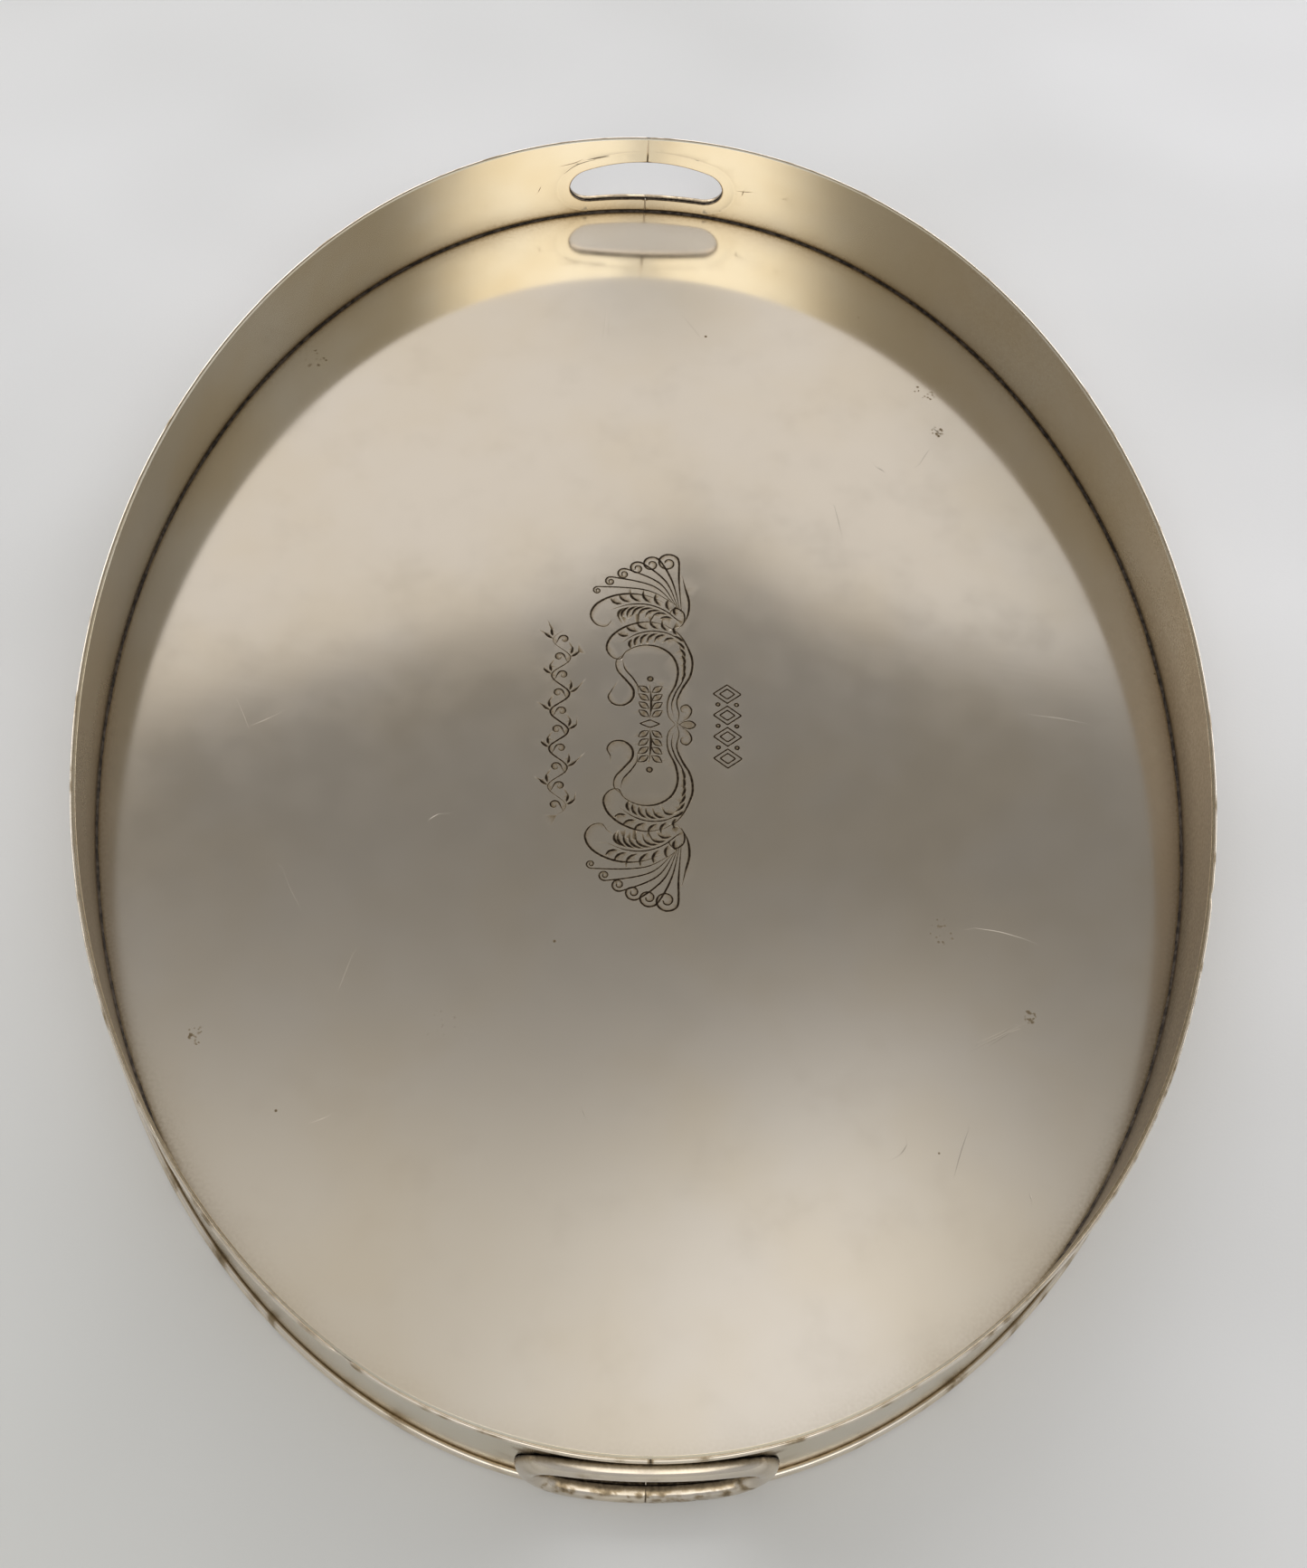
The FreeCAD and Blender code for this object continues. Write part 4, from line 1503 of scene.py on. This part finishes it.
@dataclass
class EdgeWires:
    """One half's half-round wires: one along the wall's top edge and one along its foot."""

    tray: Tray
    side: Side
    rim_tall: float = 3.0
    rim_proud: float = 1.3
    rim_above: float = 0.2
    foot_tall: float = 5.0
    foot_proud: float = 2.5
    fit: float = 0.05

    def _ends(self, first: Array, second: Array) -> tuple[Array, Array]:
        """Turn arc lengths on the right half into this half's."""
        if self.side is Side.RIGHT:
            return first, second
        return self.tray.oval.round - first, self.tray.oval.round - second

    def _dark(self, section: Array, middle: float) -> Array:
        """Tarnish where the wire meets the wall, painted shade that keeps its underside darker than its top,
        and a clean crown where hands and cloths rub.
        """
        off = (section[:, 0] - self.tray.wall_thick) / (section[:, 0].max() - self.tray.wall_thick)
        # Painted shade: each band is darker below the wire's middle than above it.
        under = section[:, 1] < middle
        joint = np.where(under, 0.95, 0.55)
        beside = np.where(under, 0.6, 0.22)
        return np.where(off < 0.05, joint, np.where(off < 0.30, beside, np.where(under, 0.18, 0.04)))

    def build(self) -> list[bpy.types.Object]:
        """Make this half's two wires.

        Returns:
            The new objects.
        """
        tray, side = self.tray, self.side.name.lower()
        top = tray.wall_top + self.rim_above
        rim = half_round(tray.wall_thick, top - self.rim_tall, top, self.rim_proud)
        gap, half = 0.02, tray.oval.half_round
        starts, ends = self._ends(np.full(len(rim), gap), np.full(len(rim), half - gap))
        seed = 3 + self.side.value
        dark, name = self._dark(rim, top - 1.2), f"rim_wire_{side}"
        bar = WallBar(tray, name, Slot.WIRE, rim, starts, ends, dark, 700, 0.04, seed, 0.8)
        bar.shape = self._rim_marks
        pieces = [bar.build()]
        foot = half_round(tray.wall_thick, 0.0, self.foot_tall, self.foot_proud)
        shape = tray.handle
        reach = shape.corner + shape.ring_wide + self.fit
        drop = np.clip(shape.corner_at - foot[:, 1], None, reach)
        x = shape.half_foot + np.sqrt(np.maximum(reach**2 - drop**2, 0.0))
        first = tray.walk_at(End.FAR, x, foot[:, 0])
        second = tray.walk_at(End.NEAR, x, foot[:, 0])
        starts, ends = self._ends(first, second)
        dark = self._dark(foot, self.foot_tall * 0.45)
        name = f"foot_wire_{side}"
        bar = WallBar(tray, name, Slot.WIRE, foot, starts, ends, dark, 420, 0.03, seed + 4, 1.2)
        return pieces + [bar.build()]

    def _rim_marks(self, walk: Array, section: Array) -> Array:
        """Knocks in the rim wire: a flattened nick on the near left and a notch on the right."""
        out, high = section
        turn = self.tray.oval.turn(walk)
        for at, wide, deep in ((3.617, 0.013, 1.0), (1.872, 0.007, 0.7), (4.02, 0.02, 0.3)):
            knock = deep * band(turn - at, wide)
            out = out - knock * (out - self.tray.wall_thick) / self.rim_proud
            high = high - 0.6 * knock
        return np.stack([out, high])


@dataclass
class HandleRing:
    """The heavy ring outside a handle opening: a rounded bar, butted at the middle of its foot."""

    tray: Tray
    end: End
    proud: float = 5.1
    rounded: float = 4.2
    step: float = 0.8
    seam_deep: float = 0.28

    def _section(self) -> Array:
        """The bar's section: across from the opening's edge, and out from the wall."""
        wide, proud, r = self.tray.handle.ring_wide, self.proud, self.rounded
        turn = np.linspace(0.0, math.pi / 2, 9)
        rise = np.stack([r - r * np.cos(turn), proud - r + r * np.sin(turn)], axis=-1)
        fall = np.stack([wide - r + r * np.sin(turn), proud - r + r * np.cos(turn)], axis=-1)
        feet = [(wide, 0.35), (wide * 0.66, 0.0), (wide * 0.33, 0.0), (0.0, 0.35)]
        return np.vstack([rise, fall, feet])

    def build(self) -> bpy.types.Object:
        """Make the ring.

        Returns:
            The new object.
        """
        tray = self.tray
        half, away = tray.handle.outline(0.0, self.step)
        extra = np.array([[0.45, half[-1, 1]], [0.22, half[-1, 1]], [0.0, half[-1, 1]]])
        keep = half[:, 0] > 0.7
        keep[:3] = True
        right = np.vstack([half[keep], extra])
        right_away = np.vstack([away[keep], np.tile(away[-1], (3, 1))])
        path = np.vstack([right, right[1:-1][::-1] * [-1, 1]])
        heads = np.vstack([right_away, right_away[1:-1][::-1] * [-1, 1]])
        section = self._section()
        x = path[:, None, 0] + heads[:, None, 0] * section[None, :, 0]
        z = path[:, None, 1] + heads[:, None, 1] * section[None, :, 0]
        out = np.broadcast_to(section[None, :, 1], x.shape).copy()
        # Darkest where the bar meets the wall and clean at its crown: tarnish, with painted shade in the
        # crease.
        dark = np.interp(section[:, 1], [0.0, 0.5, 1.2, 2.2, 3.4], [0.95, 0.9, 0.46, 0.27, 0.06])
        dark = np.broadcast_to(dark[None], x.shape).copy()

        on_foot = (z < tray.handle.foot_at + 0.5).astype(float)
        inside = on_foot * np.interp(section[:, 0], [0.1, 0.8], [1.0, 0.0])[None]
        dark = np.maximum(dark, inside * (0.52 + 0.14 * np.sin(x / 3.1 + 0.8 * np.sin(x / 1.3))))
        seam = band(x, 0.26) * on_foot
        out -= self.seam_deep * seam * (out > 1.0)
        dark = np.maximum(dark, 0.9 * seam)
        # Years of being set down and slid have worn the foot flat, and left it pitted beside its seam.
        worn = smooth_step(3.0, 1.0, z) * (0.35 + 0.15 * np.sin(x / 5.3 + self.end.value))
        out -= worn * smooth_step(2.0, 4.5, out)
        rng = np.random.default_rng(20 + self.end.value)
        for _ in range(34 if self.end is End.NEAR else 14):
            at_x, at_z, wide = rng.uniform(1.5, 22.0), rng.uniform(0.8, 7.5), rng.uniform(0.5, 1.1)
            deep = rng.uniform(0.08, 0.24)
            pit = np.exp(-((x - at_x) ** 2 + (z - at_z) ** 2) / wide**2) * on_foot * (out > 2.0)
            out -= deep * pit
            dark = np.maximum(dark, 0.55 * pit * (deep / 0.24))
        for _ in range(110):
            at_x, at_z, wide = rng.uniform(-40.0, 40.0), rng.uniform(5.0, 11.0), rng.uniform(0.5, 1.9)
            blotch = np.exp(-((x - at_x) ** 2 + (1.6 * (z - at_z)) ** 2) / wide**2) * (z < 14)
            dark = np.maximum(dark, rng.uniform(0.1, 0.7) * blotch)
        for _ in range(60):
            at_x, at_z, wide = rng.uniform(-46.0, 46.0), rng.uniform(14.0, 38.0), rng.uniform(0.8, 3.2)
            blotch = np.exp(-((0.5 * (x - at_x)) ** 2 + (z - at_z) ** 2) / wide**2)
            dark = np.maximum(dark, rng.uniform(0.08, 0.30) * blotch)
        walk = tray.walk_at(self.end, x, tray.wall_thick + out)
        points = tray.at(walk, tray.wall_thick + out, z).reshape(-1, 3)
        faces = ring_grid(len(path), len(section), True, True)
        if self.end is End.NEAR:
            faces = [face[::-1] for face in faces]
        name = f"handle_ring_{self.end.name.lower()}"
        return make_piece(name, points, faces, dark.ravel(), Slot.RING)


@dataclass
class SolderWork:
    """The solder: a hollow fillet where the wall meets the floor, and the fills of the wall's two seams."""

    tray: Tray
    leg: float = 1.2
    rows: int = 1400

    def fillet(self) -> bpy.types.Object:
        """Make the fillet, whose toes wander as a wiped joint's do.

        Returns:
            The new object.
        """
        tray = self.tray
        walk = np.linspace(0.0, tray.oval.round, self.rows, endpoint=False)[:, None]
        phase = walk / tray.oval.round * 2 * math.pi
        wander = sum(
            size * np.sin(count * phase + shift)
            for count, size, shift in ((37, 0.07, 0.3), (83, 0.05, 1.9), (151, 0.05, 4.4), (263, 0.04, 2.7))
        )
        inward = self.leg * (0.80 + wander)
        upward = self.leg * (0.78 - 0.8 * wander)
        share = np.linspace(0.0, 1.0, 6)[None]
        bow = 0.55 * share * (1 - share)
        out = np.hstack([-inward * (1 - share) + inward * bow * 0.9, np.zeros((self.rows, 1))])
        high = np.hstack([upward * share - upward * bow * 0.9, np.zeros((self.rows, 1))])
        high = np.maximum(high, 0.0)
        points = tray.at(np.broadcast_to(walk, out.shape), out, tray.floor_top + high).reshape(-1, 3)
        faces = [face[::-1] for face in ring_grid(self.rows, 7, True, True)]
        return make_piece("floor_solder", points, faces, np.full(len(points), 0.9), Slot.SOLDER)

    def seam(self, end: End) -> bpy.types.Object:
        """Make the fills above and below one opening, each a little sunk between the wall's two halves.

        Args:
            end: which handle.
        Returns:
            The new object.
        """
        tray, points, faces = self.tray, [], []
        half = tray.seam / 2
        heights = [(tray.floor_top, tray.handle.foot_at), (tray.handle.crown, tray.wall_top)]
        for low, high in heights:
            rows = 14
            z = np.linspace(low, high, rows)[:, None]
            sunk = 0.02 + 0.01 * np.sin(z * 2.3) + 0.13 * cracked(z)
            x = np.array([[-half, half, half, -half]])
            out = np.hstack([sunk, sunk, tray.wall_thick - sunk, tray.wall_thick - sunk])
            first = sum(len(p) for p in points)
            walk = tray.walk_at(end, np.broadcast_to(x, out.shape), out)
            points.append(tray.at(walk, out, np.broadcast_to(z, out.shape)).reshape(-1, 3))
            made = ring_grid(rows, 4, False, True)
            made += [(3, 2, 1, 0), tuple((rows - 1) * 4 + i for i in range(4))]
            if end is End.NEAR:
                made = [face[::-1] for face in made]
            faces += [tuple(first + i for i in face) for face in made]
        stacked = np.vstack(points)
        name = f"seam_solder_{end.name.lower()}"
        return make_piece(name, stacked, faces, 0.12 + 0.85 * cracked(stacked[:, 2]), Slot.SOLDER)


# ---------------------------------------------------------------------------------------------------------
# Studio
# ---------------------------------------------------------------------------------------------------------


@dataclass(frozen=True)
class ViewPoint:
    """The camera: how steeply it looks down, and at what, in millimetres and radians."""

    pitch: float = 0.52715
    roll: float = 0.09217
    yaw: float = 0.0819
    away: float = 893.1
    aim: tuple[float, float, float] = (5.23, -19.21, 1.2)
    lens: float = 50.06

    def _forward(self) -> Vector:
        """The way it looks, before its turn about Z."""
        return Vector((0, math.sin(self.pitch), -math.cos(self.pitch)))

    def _turned(self) -> Matrix:
        """Its turn about Z, away from the tray's long axis."""
        return Matrix.Rotation(-self.yaw, 3, "Z")

    def axes(self) -> tuple[Vector, Vector, Vector]:
        """The camera's right, up and forward directions in the tray's frame."""
        right, forward, turned = Vector((1, 0, 0)), self._forward(), self._turned()
        up = right.cross(forward)
        across = math.cos(self.roll) * right + math.sin(self.roll) * up
        above = -math.sin(self.roll) * right + math.cos(self.roll) * up
        return turned @ across, turned @ above, turned @ forward

    def spot(self) -> Vector:
        """Where the camera is, in millimetres."""
        return self._turned() @ (Vector(self.aim) - self._forward() * self.away)

    def build(self) -> bpy.types.Object:
        """Make the camera and look through it.

        Returns:
            The camera.
        """
        data = bpy.data.cameras.new("view_point")
        data.lens = self.lens
        data.sensor_width = 36.0
        data.clip_start = 0.01
        camera = bpy.data.objects.new("view_point", data)
        across, above, forward = self.axes()
        turned = Matrix((across, above, -forward)).transposed()
        camera.matrix_world = Matrix.Translation(self.spot() * MM) @ turned.to_4x4()
        bpy.context.scene.collection.objects.link(camera)
        bpy.context.scene.camera = camera
        return camera


@dataclass(frozen=True)
class SoftEdge:
    """One soft edge of a card over the tray.

    It is laid out on the tray's floor, where the camera sees the card mirrored.
    """

    at: tuple[float, float]
    facing: float
    soft: float


def near_edge(y: float, soft: float) -> SoftEdge:
    """A straight edge towards the near end."""
    return SoftEdge((0, y), -90, soft)


def far_edge(y: float, soft: float) -> SoftEdge:
    """A straight edge towards the far end."""
    return SoftEdge((0, y), 90, soft)


def left_edge(x: float, soft: float) -> SoftEdge:
    """A straight edge on the left."""
    return SoftEdge((x, 0), 180, soft)


def right_edge(x: float, soft: float) -> SoftEdge:
    """A straight edge on the right."""
    return SoftEdge((x, 0), 0, soft)


@dataclass(frozen=True)
class Card:
    """A light or dark card in the studio's dome: everything that lies inside all its soft edges."""

    colour: tuple[float, float, float]
    edges: tuple[SoftEdge, ...]


@dataclass(frozen=True)
class Studio:
    """The soft dome of light round the tray, and the pale cloth that it stands on."""

    base: tuple[float, float, float]
    cards: tuple[Card, ...]
    cloth_half: float = 1600.0
    backdrop: tuple[float, float, float] = (0.60, 0.60, 0.605)
    lowest: float = 0.02

    def light(self, view: ViewPoint) -> None:
        """Make the dome.

        Args:
            view: the camera, whose mirror image on the tray's floor the cards are laid out for.
        """
        world = bpy.data.worlds.new("soft_dome")
        bpy.context.scene.world = world
        world.use_nodes = True
        tree = world.node_tree
        spot = view.spot() * MM
        heading = add(tree, "TexCoord").outputs["Generated"]
        parts = add(tree, "SeparateXYZ", Vector=heading)
        upward = add(tree, "Math", {"operation": "MAXIMUM"}, in0=parts.outputs["Z"], in1=self.lowest)
        scale = add(tree, "Math", {"operation": "DIVIDE"}, in0=spot.z - view.aim[2] * MM, in1=upward)
        stretch = add(tree, "VectorMath", {"operation": "SCALE"}, in0=heading, Scale=scale.outputs[0])
        mirrored = add(tree, "VectorMath", {"operation": "ADD"}, in0=stretch, in1=(spot.x, spot.y, 0.0))
        colour: object = (*self.base, 1.0)
        for card in self.cards:
            share = None
            for edge in card.edges:
                turn, half = math.radians(edge.facing), edge.soft / 2 * MM
                start = (edge.at[0] * MM, edge.at[1] * MM, 0.0)
                off = add(tree, "VectorMath", {"operation": "SUBTRACT"}, in0=mirrored, in1=start)
                reach = add(tree, "VectorMath", DOT, in0=off, in1=(math.cos(turn), math.sin(turn), 0.0))
                inside = add(tree, "MapRange", EASED, Value=reach, in1=-half, in2=half, in3=1.0, in4=0.0)
                share = inside if share is None else add(tree, "Math", TIMES, in0=share, in1=inside)
            colour = add(tree, "Mix", COLOURS, in0=share, in6=colour, in7=(*card.colour, 1.0))
        # Nothing shines from under the cloth, and what shows past its edge is a plain pale backdrop.
        below = add(tree, "MapRange", EASED, Value=parts.outputs["Z"], in1=-0.04, in2=0.0, in3=1.0, in4=0.0)
        colour = add(tree, "Mix", COLOURS, in0=below, in6=colour, in7=(*self.base, 1.0))
        seen = add(tree, "LightPath").outputs["Is Camera Ray"]
        colour = add(tree, "Mix", COLOURS, in0=seen, in6=colour, in7=(*self.backdrop, 1.0))
        fit(tree, tree.nodes["Background"], Color=colour)
        tree.nodes["Background"].inputs["Strength"].default_value = 1.0

    def cloth(self) -> bpy.types.Object:
        """Lay the cloth.

        Returns:
            The new object.
        """
        count, half = 41, self.cloth_half * MM
        line = np.linspace(-half, half, count)
        x, y = np.meshgrid(line, line)
        points = np.stack([x.ravel(), y.ravel(), np.full(x.size, -0.03 * MM)], axis=-1)
        mesh = bpy.data.meshes.new("cloth")
        mesh.from_pydata(points.tolist(), [], ring_grid(count, count, False, False))
        mesh.materials.append(PaleCloth().build())
        sheet = bpy.data.objects.new("cloth", mesh)
        bpy.context.scene.collection.objects.link(sheet)
        sheet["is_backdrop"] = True
        return sheet


STUDIO = Studio(
    base=(0.42, 0.42, 0.42),
    cards=(
        # The bright far end of the room, a dim strip in it, and brighter sky beyond: the tray's far half.
        Card(
            (0.77, 0.75, 0.735),
            (near_edge(-40, 200), SoftEdge((192, 40), 15, 110), left_edge(-620, 400)),
        ),
        Card((0.58, 0.57, 0.56), (near_edge(222, 50), right_edge(36, 44), left_edge(-30, 44))),
        Card((2.85, 2.87, 2.92), (near_edge(640, 300),)),
        # The dim room behind the camera, its window, which lights the far wall, and a dimmer strip in that.
        Card((0.50, 0.50, 0.50), (far_edge(-1500, 500),)),
        Card(
            (1.72, 1.69, 1.62),
            (far_edge(-800, 300), near_edge(-1900, 700), right_edge(680, 360), left_edge(-570, 280)),
        ),
        Card(
            (1.12, 1.11, 1.09),
            (far_edge(-800, 300), near_edge(-1900, 700), right_edge(78, 90), left_edge(-72, 90)),
        ),
        # The ceiling over the tray's near half, brightest to the right.
        Card(
            (0.58, 0.565, 0.535),
            (far_edge(-150, 160), near_edge(-620, 300), right_edge(185, 120), left_edge(-420, 300)),
        ),
        Card(
            (0.86, 0.86, 0.87),
            (SoftEdge((10, -195), 150, 130), near_edge(-480, 200), SoftEdge((118, -200), -8, 90)),
        ),
        # The dark shape that hangs over the middle of the tray, with a low peak towards the far end.
        Card(
            (0.228, 0.222, 0.212),
            (
                SoftEdge((20, 84), 108, 16),
                SoftEdge((20, 84), 74, 16),
                SoftEdge((0, -138), -94, 190),
                right_edge(460, 300),
                left_edge(-460, 300),
            ),
        ),
        Card(
            (0.222, 0.216, 0.208),
            (SoftEdge((22, 110), 130, 8), SoftEdge((22, 110), 50, 8), near_edge(10, 60)),
        ),
    ),
)

PLATES = {
    Slot.FLOOR: SatinPlate("satin_silver_floor"),
    Slot.WALL: SatinPlate(
        "satin_silver_wall", silver="#dcd7c8", champagne="#d5cbb3", roughness=0.16, wave_tall_mm=0.05
    ),
    Slot.WIRE: SatinPlate(
        "rubbed_silver_wire", silver="#ece2d4", roughness=0.17, patch_mm=30.0, smudge_mm=9.0
    ),
    Slot.RING: SatinPlate(
        "rubbed_silver_ring", silver="#d9d0c3", roughness=0.115, patch_mm=26.0, smudge_mm=8.0
    ),
}


def main() -> None:
    """Build the tray, piece by piece, and set it in its studio."""
    logging.basicConfig(level=logging.INFO, format="%(name)s: %(message)s")
    cad_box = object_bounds()
    low, high = node_box("gallery_wall_right")
    oval = Oval(high[1] - Tray.wall_thick, high[0] - Tray.wall_thick)
    tray = Tray(oval, wall_top=high[2], floor_top=low[2])
    LOG.info("inner oval's halves %.1f and %.1f mm", oval.half_length, oval.half_width)

    pieces = {slot: [] for slot in Slot}
    pieces[Slot.FLOOR].append(TrayFloor(tray).build())
    for side in Side:
        pieces[Slot.WALL].append(GalleryWall(tray, side).build())
        pieces[Slot.WIRE] += EdgeWires(tray, side).build()
    solder = SolderWork(tray)
    pieces[Slot.SOLDER].append(solder.fillet())
    seams = [solder.seam(end) for end in End]
    pieces[Slot.RING] += [HandleRing(tray, end).build() for end in End]
    for slot, made in pieces.items():
        material = OldSolder().build() if slot is Slot.SOLDER else PLATES[slot].build()
        for piece in made:
            piece.data.materials.append(material)
    tinned = SatinPlate("tinned_seam", silver="#c9c2b4", roughness=0.3).build()
    for piece in seams:
        piece.data.materials.append(tinned)

    bpy.context.scene.view_settings.view_transform = "Standard"
    view = ViewPoint()
    view.build()
    STUDIO.light(view)
    STUDIO.cloth()
    boxes = {"cad": cad_box, "visual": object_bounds()}
    sizes = {name: [list(corner) for corner in box] for name, box in boxes.items()}


if __name__ == "__main__":
    main()
